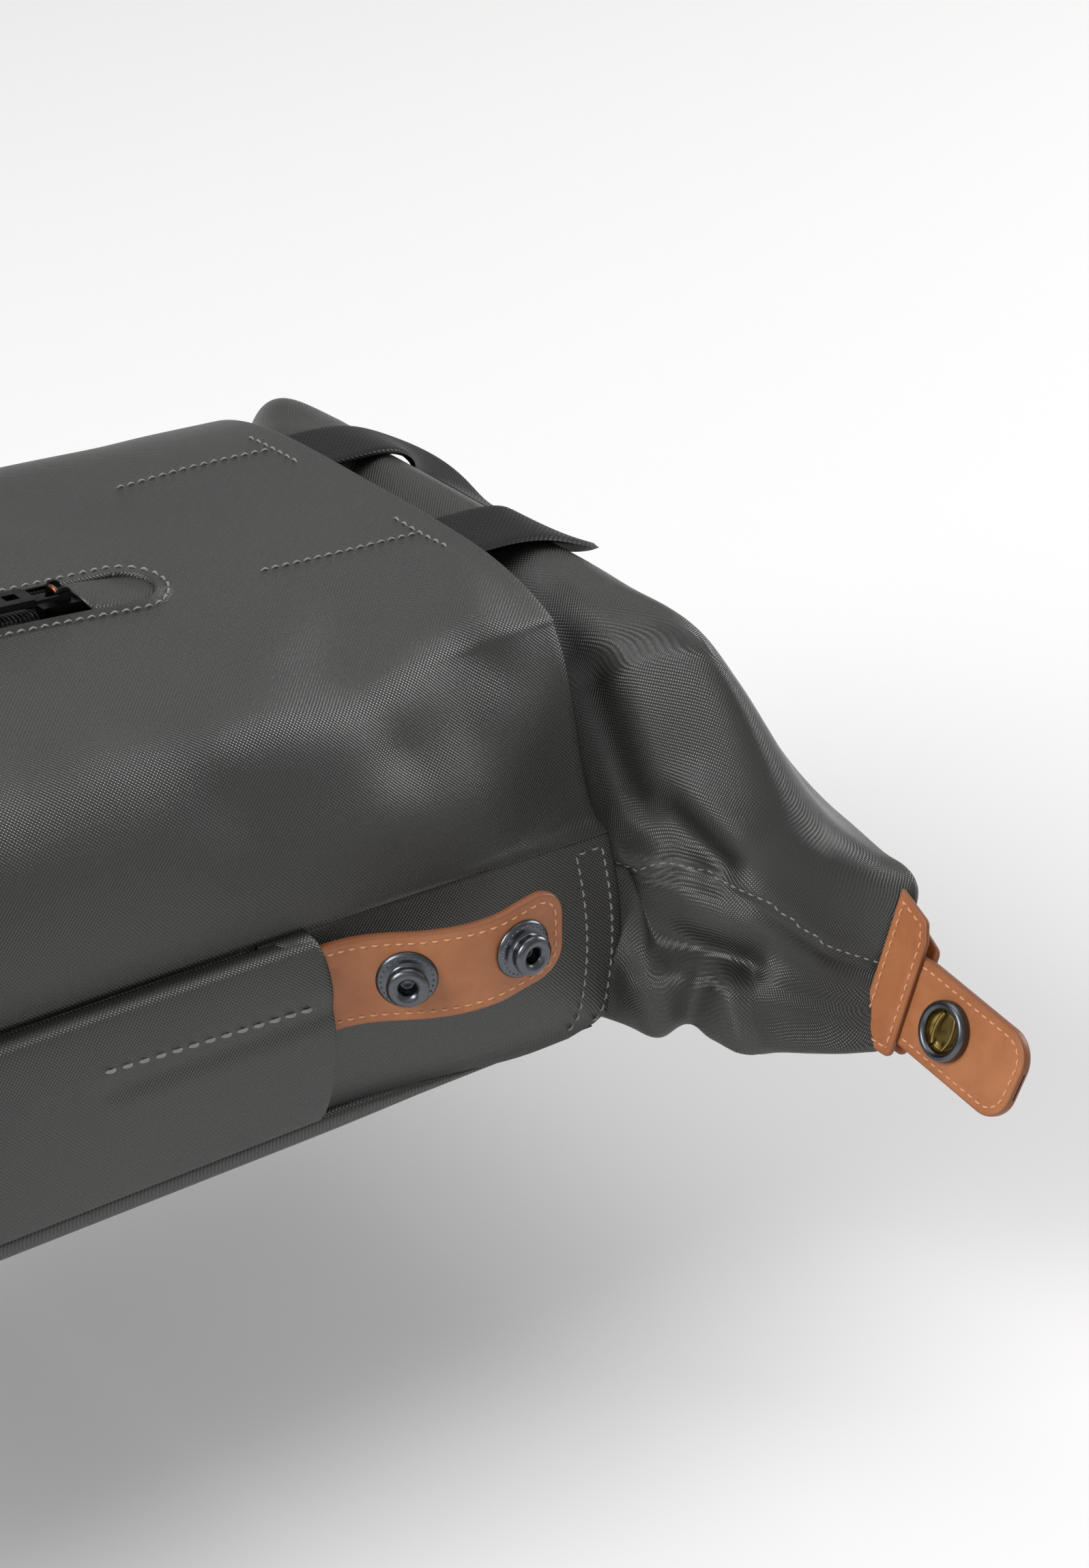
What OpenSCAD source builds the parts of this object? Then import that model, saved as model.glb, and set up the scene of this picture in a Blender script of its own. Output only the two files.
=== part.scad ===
// Small roll-top bag of coated canvas, lying on its back with its collar unrolled.
// +X runs to the mouth, -Y to the bag's right side, +Z up to its front.
// The origin is the middle of the back panel's flat outer face.

/* [Bag] */
// Length of the back panel, bottom to mouth
bag_l = 330; // [280:1:420]
// Width of the bag between its side seams
bag_w = 210; // [180:1:270]
// Height of the side seam at the mouth
seam_h = 60; // [48:1:75]
// How much higher the side seam is at the bottom of the bag
seam_rise = 6; // [0:0.5:10]
// Thickness of the bag at the front panel's free edge
edge_h = 122; // [100:1:150]
// Rise of the front panel toward the bottom, per mm of length
panel_slope = 0.07; // [0:0.01:0.1]
// Length of the rounded bottom end
dome_l = 45; // [35:1:60]
// Radius of the two bottom corners
corner_r = 25; // [15:1:32]
// Wall of canvas, padding and binding
wall = 2.4; // [1.6:0.1:3.5]
// Thickness of the padded back panel
back_t = 4; // [3:0.1:8]
// Bulge of the side panels
side_bulge = 1.2; // [0:0.1:2]
// Width of the facing inside the mouth edge
facing_w = 20; // [12:1:28]
// Thickness of one layer of facing or lining cloth
cloth_t = 0.8; // [0.5:0.1:1.2]
// Depth of the zip pocket under the front panel
pocket_gap = 6; // [4:0.5:9]

/* [Side sleeves] */
// Distance from the mouth edge to the sleeve's free edge
sleeve_back = 92; // [75:1:120]
// Room under the sleeve for the strap
sleeve_gap = 4.6; // [4:0.1:7]
// Wall of the sleeve
sleeve_t = 1.6; // [1:0.1:2.5]

/* [Zip] */
// Sideways place of the zip
zip_y = -26; // [-34:1:-22]
// Distance from the mouth edge to the zip's window
zip_back = 87; // [80:1:110]
// Length of the zip's window
zip_l = 175; // [120:1:185]
// Width of the zip's window
zip_w = 17; // [15:0.5:20]
// Width of the closed teeth
coil_w = 5; // [4:0.5:6]
// Height of the teeth over the tape
coil_h = 2; // [1.6:0.1:2.6]
// Length of the slider
slider_l = 14; // [11:1:18]
// Length of the puller
puller_l = 46; // [30:1:55]
// Width of the puller
puller_w = 8; // [6:0.5:10]
// Thickness of the puller
puller_t = 2; // [1.4:0.1:2.6]
// Length of the fabric garage over the zip's end
garage_l = 20; // [14:1:24]

/* [Collar] */
// Distance from the mouth edge to the mouth, along the floor
collar_l = 50; // [40:1:70]
// Lean of the open mouth from upright
mouth_lean = 20; // [0:1:25]
// Width across the mouth
mouth_w = 306; // [250:1:340]
// Height of the mouth's corners
corner_h = 45; // [40:1:60]
// Height of the middle of the mouth
mouth_h = 74; // [62:1:90]
// Wall of the collar
collar_wall = 2; // [1.4:0.1:3]
// How far the collar starts inside the front panel
collar_tuck = 12; // [6:1:16]
// Width of the hem facing inside the mouth
hem_w = 22; // [15:1:30]

/* [Closure tabs] */
// Thickness of one layer of leather
leather_t = 1.4; // [1:0.1:2]
// How far the leather patch stands out of the corner
patch_out = 14; // [10:1:20]
// Height of the leather patch
patch_h = 43; // [36:1:44]
// Width of the tab
tab_w = 25; // [20:1:30]
// Length of the tab outside the patch
tab_l = 41; // [36:1:55]
// Droop of the tab
tab_droop = 7; // [0:1:8]
// Outer diameter of the snap socket
socket_d = 16.5; // [15:0.5:18]
// Bore of the snap socket
socket_bore = 11.6; // [11:0.1:12.5]

/* [Side straps] */
// Width of the leather strap
strap_w = 25; // [20:1:28]
// Length of the strap outside its sleeve
strap_l = 57; // [50:1:70]
// How far the strap's tip stands out
strap_out = 18; // [12:1:24]
// Height of the strap's middle above the floor
strap_z = 47; // [40:1:48]
// Distance from the sleeve to the first stud
stud_first = 17; // [15:1:20]
// Distance between the two studs
stud_step = 27; // [22:1:30]
// Diameter of a stud's flange
stud_d = 16; // [14:0.5:18]
// Diameter of a stud's head
ball_d = 11; // [9:0.1:11.2]
// Height of a stud's head
ball_h = 6; // [4:0.5:7]

/* [Handle] */
// Width of the webbing
web_w = 25; // [20:1:30]
// Thickness of the webbing
web_t = 2; // [1.5:0.1:3]
// Half the distance between the handle's legs
leg_y = 35; // [30:1:45]
// Reach of the loop past the mouth edge
loop_l = 44; // [36:1:60]
// Length of webbing sewn under the front panel
anchor_l = 60; // [40:1:70]

/* [Hidden] */

canvas = "#4a4a46";
canvas_dark = "#3f3f3c";
lining_grey = "#6a6a66";
leather = "#b5713f";
webbing = "#2f2e2c";
gunmetal = "#5a5d62";

gap = 0.3;              // between pieces on different bodies
fit = 0.1;              // between pieces sewn to each other
x_edge = bag_l / 2;     // the mouth edge
x_bottom = -bag_l / 2;
dome_x = x_bottom + dome_l;
x_sleeve = x_edge - sleeve_back;
arch_a = 4;             // the front panel's cross-section is |y|^a + z^b = 1
arch_b = 2.5;
anchor_off = wall + 3 * fit;                         // the handle's legs lie below the front panel
facing_off = anchor_off + web_t + 3 * fit;           // the edge facing runs below them
collar_off = facing_off + cloth_t + 4 * gap;         // and the collar runs inside it

// ---- closed sheets and ribbons ----

function mix(a, b, t) = a + (b - a) * t;
function ease(t) = t <= 0 ? 0 : t >= 1 ? 1 : t * t * (3 - 2 * t);
function flat(rows) = [for (r = rows) each r];

// A closed sheet between two grids of points; the cells inside hole = [i0, i1, j0, j1] are left out.
module sheet(outer, inner, flip = false, hole = [0, 0, 0, 0], wrap = false) {
    n = len(outer);
    m = len(outer[0]);
    mc = wrap ? m : m - 1;
    function solid(i, j) = i >= 0 && i < n - 1 && (wrap || (j >= 0 && j < mc))
        && !(i >= hole[0] && i < hole[1] && j >= hole[2] && j < hole[3]);
    function a(i, j) = i * m + j % m;
    function b(i, j) = n * m + i * m + j % m;
    function quad(p, q, r, s) = flip ? [[p, r, q], [p, s, r]] : [[p, q, r], [p, r, s]];
    faces = [for (i = [0 : n - 2], j = [0 : mc - 1]) if (solid(i, j)) each concat(
        quad(a(i, j), a(i, j + 1), a(i + 1, j + 1), a(i + 1, j)),
        quad(b(i, j), b(i + 1, j), b(i + 1, j + 1), b(i, j + 1)),
        solid(i - 1, j) ? [] : quad(a(i, j), b(i, j), b(i, j + 1), a(i, j + 1)),
        solid(i + 1, j) ? [] : quad(a(i + 1, j), a(i + 1, j + 1), b(i + 1, j + 1), b(i + 1, j)),
        solid(i, j - 1) ? [] : quad(a(i, j), a(i + 1, j), b(i + 1, j), b(i, j)),
        solid(i, j + 1) ? [] : quad(a(i, j + 1), b(i, j + 1), b(i + 1, j + 1), a(i + 1, j + 1)))];
    polyhedron(concat(flat(outer), flat(inner)), faces, convexity = 8);
}

// The left half of the bag is the right half mirrored.
module left_side() mirror([0, 1, 0]) children();

// ---- the bag's own surfaces; off is the depth below the outer face ----

function seam_z(x) = seam_h + seam_rise * (1 - pow((x - x_bottom) / bag_l, 2));
function top_z(x) = edge_h + panel_slope * (x_edge - x);
function plan_y(x, off) = let(d = min(corner_r - off, max(0, x_bottom + corner_r - x)))
    bag_w / 2 - corner_r + sqrt(pow(corner_r - off, 2) - d * d);
function dome(x, off) = x >= dome_x ? 1
    : pow(max(0, 1 - pow((dome_x - x) / (dome_l - off), arch_b)), 1 / arch_b);
function front_point(x, v, off, drop = 0) = [x, plan_y(x, off) * v,
    seam_z(x) + (top_z(x) - off - drop - seam_z(x)) * dome(x, off) * pow(1 - pow(abs(v), arch_a), 1 / arch_b)];

zip_x1 = x_edge - zip_back;
zip_x0 = zip_x1 - zip_l;
v_zip = [for (d = [-zip_w / 2, 0, zip_w / 2]) (zip_y + d) / (bag_w / 2)];
v_lines = concat([for (a = [-90 : 7.5 : -30]) sin(a)], v_zip, [for (a = [0 : 7.5 : 90]) sin(a)]);
function x_lines(off) = concat([for (i = [0 : 3]) mix(x_edge, zip_x1, i / 3)],
    [for (i = [1 : 6]) mix(zip_x1, zip_x0, i / 6)],
    [for (a = [0 : 11.25 : 90]) dome_x - (dome_l - off) * sin(a)]);
function front_grid(off) = [for (x = x_lines(off)) [for (v = v_lines) front_point(x, v, off)]];
function front_band(x0, x1, n, v, off) =
    [for (i = [0 : n]) [for (w = v) front_point(mix(x1, x0, i / n), w, off)]];

module front_panel() color(canvas) sheet(front_grid(0), front_grid(wall), hole = [3, 9, 9, 11]);

module back_panel() color(canvas_dark) linear_extrude(back_t) intersection() {
    translate([x_bottom, -bag_w / 2]) square([bag_l, bag_w]);
    hull() {
        for (s = [-1, 1]) translate([x_bottom + corner_r, s * (bag_w / 2 - corner_r)]) circle(corner_r, $fn = 64);
        translate([0, -bag_w / 2]) square([bag_l, bag_w]);
    }
}

// One upright row of a side panel at x; the panel leans out by bulge half-way up.
function side_row(x, off, z0, z1, bulge) = [for (k = [0 : 8])
    [x, -(bag_w / 2 - off + bulge * sin(180 * k / 8)), mix(z0, z1, k / 8)]];

module side_gusset() color(canvas) sheet(
    [for (i = [0 : 12]) let(x = mix(x_edge, x_bottom + corner_r, i / 12))
        side_row(x, 0, back_t + fit, seam_z(x) - fit, side_bulge)],
    [for (i = [0 : 12]) let(x = mix(x_edge, x_bottom + corner_r, i / 12))
        side_row(x, wall, back_t + fit, seam_z(x) - fit, side_bulge)], flip = true);

module gusset_facing() color(canvas_dark) sheet(
    [for (i = [0 : 2]) let(x = mix(x_edge, x_edge - facing_w, i / 2))
        side_row(x, wall + fit, back_t + fit, seam_z(x) - fit, side_bulge)],
    [for (i = [0 : 2]) let(x = mix(x_edge, x_edge - facing_w, i / 2))
        side_row(x, wall + fit + cloth_t, back_t + fit, seam_z(x) - fit, side_bulge)], flip = true);

// The bottom panel runs round both corners, from one side panel to the other.
bottom_path = concat(
    [for (a = [fit : 11.25 : 90]) [x_bottom + corner_r, -bag_w / 2 + corner_r, -sin(a), -cos(a)]],
    [for (t = [0 : 0.125 : 1]) [x_bottom + corner_r, mix(-bag_w / 2 + corner_r, bag_w / 2 - corner_r, t), -1, 0]],
    [for (a = [0 : 11.25 : 90 - fit]) [x_bottom + corner_r, bag_w / 2 - corner_r, -cos(a), sin(a)]],
    [[x_bottom + corner_r, bag_w / 2 - corner_r, -sin(fit), cos(fit)]]);
function bottom_grid(off) = [for (p = bottom_path) let(r = corner_r - off, x = p[0] + r * p[2])
    [for (k = [0 : 4]) [x, p[1] + r * p[3], mix(back_t + fit, seam_z(x) - fit, k / 4)]]];
module bottom_gusset() color(canvas) sheet(bottom_grid(0), bottom_grid(wall), flip = true);

// A strip of canvas under the free edge of the front panel.
module front_edge_facing() color(canvas_dark) sheet(
    front_band(x_edge - facing_w, x_edge, 2, v_lines, facing_off),
    front_band(x_edge - facing_w, x_edge, 2, v_lines, facing_off + cloth_t));

// ---- lining: a tube inside the walls, closed at the bottom ----

lining_off = wall + 0.4;
lining_drop = pocket_gap + cloth_t + 1;
function lining_ring(x, off) = let(top = [for (a = [-82.5 : 15 : 82.5]) front_point(x, sin(a), off, lining_drop)],
    y = plan_y(x, off), z0 = back_t + off - wall)
    concat(top, [for (t = [0.7, 0.35]) [x, y, mix(z0, seam_z(x), t)]],
        [for (t = [1 : -0.25 : -1]) [x, y * t, z0]], [for (t = [0.35, 0.7]) [x, -y, mix(z0, seam_z(x), t)]]);
lining_x = concat([for (t = [0 : 0.2 : 1]) mix(x_edge - facing_w - 12, dome_x, t)],
    [for (a = [25 : 20 : 65]) dome_x - dome_l * sin(a)]);
function to_middle(ring, x) = [for (p = ring) [x, p[1] * 0.02, 40 + (p[2] - 40) * 0.02]];
function lining_grid(off, cap_x) = concat([for (x = lining_x) lining_ring(x, off)],
    [to_middle(lining_ring(lining_x[8], off), cap_x)]);
module lining() color(lining_grey) sheet(lining_grid(lining_off, lining_x[8] - 1),
    lining_grid(lining_off + cloth_t, lining_x[8] - 1 + cloth_t), wrap = true);

// ---- side sleeves and the hidden roots of the leather straps ----

function sleeve_edge(z) = x_sleeve - 8 * pow(abs(z - 0.6 * seam_h) / seam_h * 1.7, 3);
function sleeve_row(t, off) = [for (k = [0 : 12]) let(z = mix(back_t + 4, seam_z(0) - 4, k / 12), s = sin(15 * k))
    [mix(x_bottom + corner_r + 2, sleeve_edge(z), t),
     -(bag_w / 2 + side_bulge + fit + sleeve_gap * pow(s, 0.35) * min(1, 8 * t + 0.05) + off), z]];
module side_sleeve() color(canvas) sheet([for (i = [0 : 12]) sleeve_row(1 - i / 12, sleeve_t)],
    [for (i = [0 : 12]) sleeve_row(1 - i / 12, 0)], flip = true);

strap_y = bag_w / 2 + side_bulge + fit + 3.2;    // middle of the strap where it leaves the sleeve
strap_x = x_sleeve + 2.6;                        // the strap's folding line
root_l = 64;
module strap_root() color(leather)
    translate([x_sleeve - root_l, -strap_y + 1.2, strap_z - 0.4 * strap_w])
        cube([root_l - 1, 1.6, 0.8 * strap_w]);

// ---- leather straps with two studs each ----

function strap_line(x) = strap_y + strap_out * ease((x - strap_x) / (strap_l * 0.72));
function strap_turn(x) = atan(strap_line(x + 0.5) - strap_line(x - 0.5));
function strap_edge(off) = [for (i = [0 : 24]) let(x = strap_x + 0.1 + strap_l * i / 24, a = strap_turn(x))
    [x - off * sin(a), -(strap_line(x) + off * cos(a))]];
function reverse(l) = [for (i = [len(l) - 1 : -1 : 0]) l[i]];
function strap_rise(x) = 6 * ease((x - strap_x - stud_first) / (strap_l - stud_first));

// The strap's outline seen from the side, with a rounded tip that stands a little higher.
module strap_outline() {
    r = strap_w * 0.3;
    x1 = strap_x + strap_l;
    hull() {
        for (s = [-1, 1]) translate([x1 - r, strap_z + strap_rise(x1) + s * (strap_w / 2 - r)]) circle(r, $fn = 32);
        translate([strap_x + stud_first, strap_z - strap_w / 2]) square([1, strap_w]);
    }
    translate([strap_x, strap_z - strap_w / 2]) square([stud_first + 1, strap_w]);
}
module strap_layer(inner, outer) intersection() {
    translate([0, 0, strap_z - strap_w]) linear_extrude(2 * strap_w)
        polygon(concat(strap_edge(inner), reverse(strap_edge(outer))));
    translate([0, -strap_y + 10, 0]) rotate([90, 0, 0]) linear_extrude(strap_out + 40) strap_outline();
}
module strap_leather() color(leather) strap_layer(0, leather_t);
module strap_backing() color(leather) strap_layer(-leather_t, -fit / 2);

// Stands its children on the strap's outer face at x, with +Z pointing away from the bag.
module on_strap(x) translate([x, -strap_line(x), strap_z + strap_rise(x)])
    rotate([90, 0, -strap_turn(x)]) children();
stud_places = [strap_x + stud_first, strap_x + stud_first + stud_step];
stud_seat = leather_t + 0.35;     // the flange sits on the outer face
module stud() translate([0, 0, stud_seat]) rotate_extrude($fn = 48) polygon([
    [1.8, 0], [stud_d / 2 - 0.6, 0], [stud_d / 2, 0.5], [stud_d / 2 - 0.9, 1.1], [ball_d / 2 - 0.1, 1.5],
    [ball_d / 2 - 0.8, 2.6], [ball_d / 2, ball_h - 1.8], [ball_d / 2 - 0.7, ball_h - 0.4],
    [ball_d / 2 - 1.7, ball_h], [2.6, ball_h - 0.3], [1.8, ball_h - 1.6]]);
module stud_back() translate([0, 0, -leather_t - 1.25]) rotate_extrude($fn = 48)
    polygon([[0, 0], [stud_d / 2 - 1.6, 0.2], [stud_d / 2 - 1.2, 0.7], [0, 0.8]]);
module strap_studs() color(gunmetal) for (x = stud_places) on_strap(x) stud();
module stud_backs() color(gunmetal) for (x = stud_places) on_strap(x) stud_back();

// ---- the zip: local X runs along the front panel's line, z = 0 on its outer face ----

panel_angle = atan(panel_slope);
module on_panel(y = zip_y) translate([x_edge, y, edge_h - 0.4]) rotate([0, panel_angle, 0]) children();
zip_a = -zip_back / cos(panel_angle);            // window's mouth end, along the panel
zip_b = -(zip_back + zip_l) / cos(panel_angle);  // window's bottom end
tape_z = -wall - 1.4;
module zip_tape() color(webbing) on_panel() translate([zip_b - 5, -zip_w / 2 - 5, tape_z])
    cube([zip_a - zip_b + 10, zip_w + 10, 1]);
teeth_z = tape_z + 1 + fit;
module zip_teeth() color(webbing) on_panel() translate([zip_b + 3, -coil_w / 2, teeth_z])
    cube([zip_a - zip_b - 4, coil_w, coil_h]);
module zip_end_stop() color(webbing) on_panel() translate([zip_b + 0.8, -coil_w / 2 - 1, teeth_z])
    cube([2, coil_w + 2, coil_h]);
slider_x = zip_a - garage_l - slider_l / 2 - 1;
slider_w = coil_w + 4;
slider_top = teeth_z + coil_h + 1.6;
ear_t = 1;                                   // ears of the slider's bridge
ear_y = puller_w / 2 - 1.5;
arm_w = 0.8;                                 // the puller's arms run outside the ears
arm_y = ear_y + ear_t / 2 + gap;
module zip_slider() color(gunmetal) on_panel() {
    difference() {
        translate([slider_x - slider_l / 2, -slider_w / 2, teeth_z + gap])
            cube([slider_l, slider_w, slider_top - teeth_z - gap]);
        translate([slider_x - slider_l, -coil_w / 2 - gap, teeth_z])
            cube([2 * slider_l, coil_w + 2 * gap, coil_h + gap]);
    }
    // bridge that holds the puller's bail
    for (s = [-1, 1]) translate([slider_x, s * ear_y, slider_top]) rotate([90, 0, 0])
        linear_extrude(ear_t, center = true) difference() {
            union() {
                translate([0, 2]) circle(2, $fn = 32);
                translate([-2, -0.2]) square([4, 2.2]);
            }
            translate([0, 2]) circle(0.9, $fn = 32);
        }
}
// Flat bar with a slot, on a wire bail that turns in the bridge.
module zip_puller() color(webbing) on_panel() translate([slider_x, 0, slider_top + 2]) {
    rotate([90, 0, 0]) cylinder(r = 0.8, h = 2 * arm_y + arm_w, center = true, $fn = 24);
    for (s = [-1, 1]) translate([-9, s * (arm_y + arm_w / 2) - arm_w / 2, -0.5]) cube([9.4, arm_w, 1]);
    translate([0, 0, -puller_t / 2]) linear_extrude(puller_t) difference() {
        hull() for (x = [-9.5, -puller_l + 1.5], s = [-1, 1])
            translate([x, s * (puller_w / 2 - 1)]) circle(1, $fn = 24);
        translate([-16, -1.6]) square([4, 3.2]);
    }
}
// Fabric cap that the slider parks against.
module zip_garage() color(canvas_dark) on_panel()
    translate([zip_a - garage_l, -zip_w / 2 + 0.6, 0.8]) cube([garage_l - 1, zip_w - 1.2, 1]);

module zip_pocket_lining() color(lining_grey) {
    v = [for (y = [-34 : 8.5 : 30]) (zip_y + y) / (bag_w / 2)];
    sheet(front_band(zip_x0 - 8, zip_x1 + 24, 8, v, wall + pocket_gap),
        front_band(zip_x0 - 8, zip_x1 + 24, 8, v, wall + pocket_gap + cloth_t));
}

// ---- handle: two sewn legs and a loop that lies over the collar ----

module webbing_anchor() color(webbing) {
    v = [for (d = [-0.5, 0, 0.5]) (-leg_y + d * web_w) / (bag_w / 2)];
    sheet(front_band(x_edge - anchor_l, x_edge, 6, v, anchor_off),
        front_band(x_edge - anchor_l, x_edge, 6, v, anchor_off + web_t));
}

loop_x = x_edge + 2.5;                            // the handle's folding line
loop_z = edge_h - anchor_off - web_t / 2 - fit;
loop_n = 32;
function loop_point(a) = let(s = pow(cos(a), 0.55))
    [loop_x + loop_l * s, leg_y * sin(a), loop_z + 4 * s - 20 * pow(s, 3.2)];
function loop_angle(i) = -90 + 180 * i / loop_n;
// The webbing lies flat at both legs, and its outer edge leans down by loop_lean at the apex.
loop_lean = 35;
function loop_width(i) = let(a = loop_angle(i))
    [-cos(a) * cos(loop_lean), -sin(a), cos(a) * sin(loop_lean)];
function loop_up(i) = let(c = cross(
    loop_point(loop_angle(min(loop_n, i + 1))) - loop_point(loop_angle(max(0, i - 1))), loop_width(i))) c / norm(c);
function loop_row(s) = [for (i = [0 : loop_n]) [for (k = [-0.5, 0.5])
    loop_point(loop_angle(i)) + k * web_w * loop_width(i) + s * web_t / 2 * loop_up(i)]];
module handle_webbing() color(webbing) sheet(loop_row(1), loop_row(-1));

// ---- collar ----

mouth_x0 = x_edge + collar_l;
function mouth_x(z) = mouth_x0 + tan(mouth_lean) * z;
function collar_y(t, off) = mix(bag_w / 2 - collar_off, mouth_w / 2, ease(t)) - off;
function collar_seam(t) = mix(seam_h - 2, corner_h, ease(t));
function collar_top(t, off) = mix(edge_h - collar_off, mouth_h, t) - off;
function collar_z(t, v, off) = let(a = mix(arch_a, 2.4, t), b = mix(arch_b, 1.6, t))
    collar_seam(t) + (collar_top(t, off) - collar_seam(t)) * pow(1 - pow(abs(v), a), 1 / b);
function collar_point(t, v, off) = [mix(x_edge + 2 * gap, mouth_x(collar_z(1, v, 0)), t),
    collar_y(t, off) * v, collar_z(t, v, off)];
v_even = [for (a = [-90 : 7.5 : 90]) sin(a)];
function tuck_row(off) = [for (v = v_even) let(p = collar_point(0, v, off)) [x_edge - collar_tuck, p[1], p[2]]];
function collar_grid(t0, off) = [for (t = [1 : -0.1 : t0]) [for (v = v_even) collar_point(t, v, off)]];
module collar_front() color(canvas)
    sheet(concat(collar_grid(-0.01, 0), [tuck_row(0)]), concat(collar_grid(-0.01, collar_wall), [tuck_row(collar_wall)]));

function collar_side_row(t, off) = [for (k = [0 : 6]) let(z = mix(collar_wall + fit, collar_seam(t) - fit, k / 6))
    [mix(x_edge + 2 * gap, mouth_x(mix(collar_wall + fit, corner_h, k / 6)), t), -collar_y(t, off), z]];
module collar_side() color(canvas) sheet([for (t = [1 : -0.1 : -0.01]) collar_side_row(t, 0)],
    [for (t = [1 : -0.1 : -0.01]) collar_side_row(t, collar_wall)], flip = true);

function floor_outline(t0, t1, inset) = let(ts = [for (i = [0 : 10]) mix(t0, t1, i / 10)])
    concat([for (t = ts) [mix(x_edge + 2 * gap, mouth_x0, t), -collar_y(t, inset)]],
        [for (t = reverse(ts)) [mix(x_edge + 2 * gap, mouth_x0, t), collar_y(t, inset)]]);
module collar_back() color(canvas) linear_extrude(collar_wall)
    polygon(floor_outline(0, 1, 0));
module mouth_facing_back() color(canvas_dark) translate([0, 0, collar_wall + 1 + 2 * fit])
    linear_extrude(cloth_t) polygon(floor_outline(1 - hem_w / collar_l, 1, collar_wall + 6));
module mouth_stiffener() color(gunmetal)
    translate([mouth_x0 - hem_w + 3, -mouth_w * 0.38, collar_wall + fit]) cube([hem_w - 5, mouth_w * 0.76, 1]);
module mouth_facing_front() color(canvas_dark) sheet(
    [for (t = [1 : -0.1 : 0.65]) [for (v = v_even) collar_point(t, v, collar_wall + fit)]],
    [for (t = [1 : -0.1 : 0.65]) [for (v = v_even) collar_point(t, v, collar_wall + fit + cloth_t)]]);

// ---- closure patches and tabs, in the plane of the mouth: local z runs up its slope ----

module at_mouth() translate([mouth_x0, 0, 0]) rotate([0, mouth_lean, 0]) children();
corner_y = mouth_w / 2;
patch_y = corner_y + patch_out;       // outer edge of the patch
patch_z0 = 2;
tab_x0 = -2 * leather_t - 0.2;        // the tab's two layers lie between the patch's layers
// A patch from y0 out to patch_y with its upper outer corner cut off and rounded.
module patch_plate(y0) rotate([90, 0, -90]) linear_extrude(leather_t) hull() {
    translate([y0, patch_z0]) square([patch_y - y0 - 2, patch_h]);
    translate([patch_y - 2, patch_z0 + 2]) circle(2, $fn = 32);
    translate([patch_y - 2, patch_z0 + patch_h - 10]) circle(2, $fn = 32);
}
module patch_outer() color(leather) at_mouth() translate([tab_x0 - fit, 0, 0]) patch_plate(corner_y + fit);
module patch_inner() color(leather) at_mouth() translate([leather_t + gap, 0, 0]) patch_plate(corner_y - 8);
tab_z = patch_z0 + patch_h * 0.38;
module tab_root() color(leather) at_mouth()
    translate([tab_x0, -patch_y + 0.5, tab_z - tab_w / 2 + 1]) cube([2 * leather_t, patch_out - 1, tab_w - 2]);

hinge_y = patch_y + 2;
tab_axis_x = tab_x0 + leather_t;
// Tab in its own frame: origin on its folding line, +X along the tab, +Z out of its socket face.
module at_tab() at_mouth() translate([tab_axis_x, -hinge_y, tab_z]) rotate([tab_droop, 0, 0])
    rotate([0, -90, 0]) rotate([0, 0, -90]) children();
module tab_plan() difference() {
    hull() {
        translate([0.4, -tab_w / 2]) square([2, tab_w]);
        for (s = [-1, 1]) translate([tab_l - 9, s * (tab_w / 2 - 8.5)]) circle(8.5, $fn = 48);
    }
    translate([socket_place, 0]) circle(5, $fn = 48);
}
socket_place = 13;
module tab_leather() color(leather) at_tab() linear_extrude(leather_t) tab_plan();
module tab_backing() color(leather) at_tab() translate([0, 0, -leather_t]) linear_extrude(leather_t - fit / 2) tab_plan();
module snap_socket() color(gunmetal) at_tab() translate([socket_place, 0, leather_t]) rotate_extrude($fn = 64)
    polygon([[socket_bore / 2, 0], [socket_d / 2, 0], [socket_d / 2, 1.4], [socket_d / 2 - 0.8, 2.8],
        [socket_d / 2 - 1.6, 3.1], [socket_bore / 2, 2.6]]);
module snap_cap() color(gunmetal) at_tab() translate([socket_place, 0, 0]) rotate_extrude($fn = 64)
    polygon([[0, -leather_t - 1.2], [5.6, -leather_t - 1], [6.8, -leather_t - fit], [4.8, -leather_t - fit],
        [4.8, -0.2], [4.8, leather_t - 0.2], [4.2, leather_t - 0.2], [4.2, -0.6], [0, -0.6]]);

back_panel();
front_panel();
side_gusset();  // side_gusset_right
left_side() side_gusset();  // side_gusset_left
bottom_gusset();
gusset_facing();  // gusset_facing_right
left_side() gusset_facing();  // gusset_facing_left
front_edge_facing();
lining();
side_sleeve();  // side_sleeve_right
left_side() side_sleeve();  // side_sleeve_left
strap_root();  // strap_root_right
left_side() strap_root();  // strap_root_left
zip_pocket_lining();
zip_tape();
zip_teeth();
zip_end_stop();
zip_garage();
webbing_anchor();  // webbing_anchor_right
left_side() webbing_anchor();  // webbing_anchor_left
zip_slider();
zip_puller();
collar_front();
collar_back();
collar_side();  // collar_side_right
left_side() collar_side();  // collar_side_left
mouth_facing_front();
mouth_facing_back();
mouth_stiffener();
patch_outer();  // patch_outer_right
patch_inner();  // patch_inner_right
tab_root();  // tab_root_right
left_side() patch_outer();  // patch_outer_left
left_side() patch_inner();  // patch_inner_left
left_side() tab_root();  // tab_root_left
tab_leather();  // tab_leather_right
tab_backing();  // tab_backing_right
snap_socket();  // snap_socket_right
snap_cap();  // snap_cap_right
left_side() tab_leather();  // tab_leather_left
left_side() tab_backing();  // tab_backing_left
left_side() snap_socket();  // snap_socket_left
left_side() snap_cap();  // snap_cap_left
strap_leather();  // strap_leather_right
strap_backing();  // strap_backing_right
strap_studs();  // strap_studs_right
stud_backs();  // stud_backs_right
left_side() strap_leather();  // strap_leather_left
left_side() strap_backing();  // strap_backing_left
left_side() strap_studs();  // strap_studs_left
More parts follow.
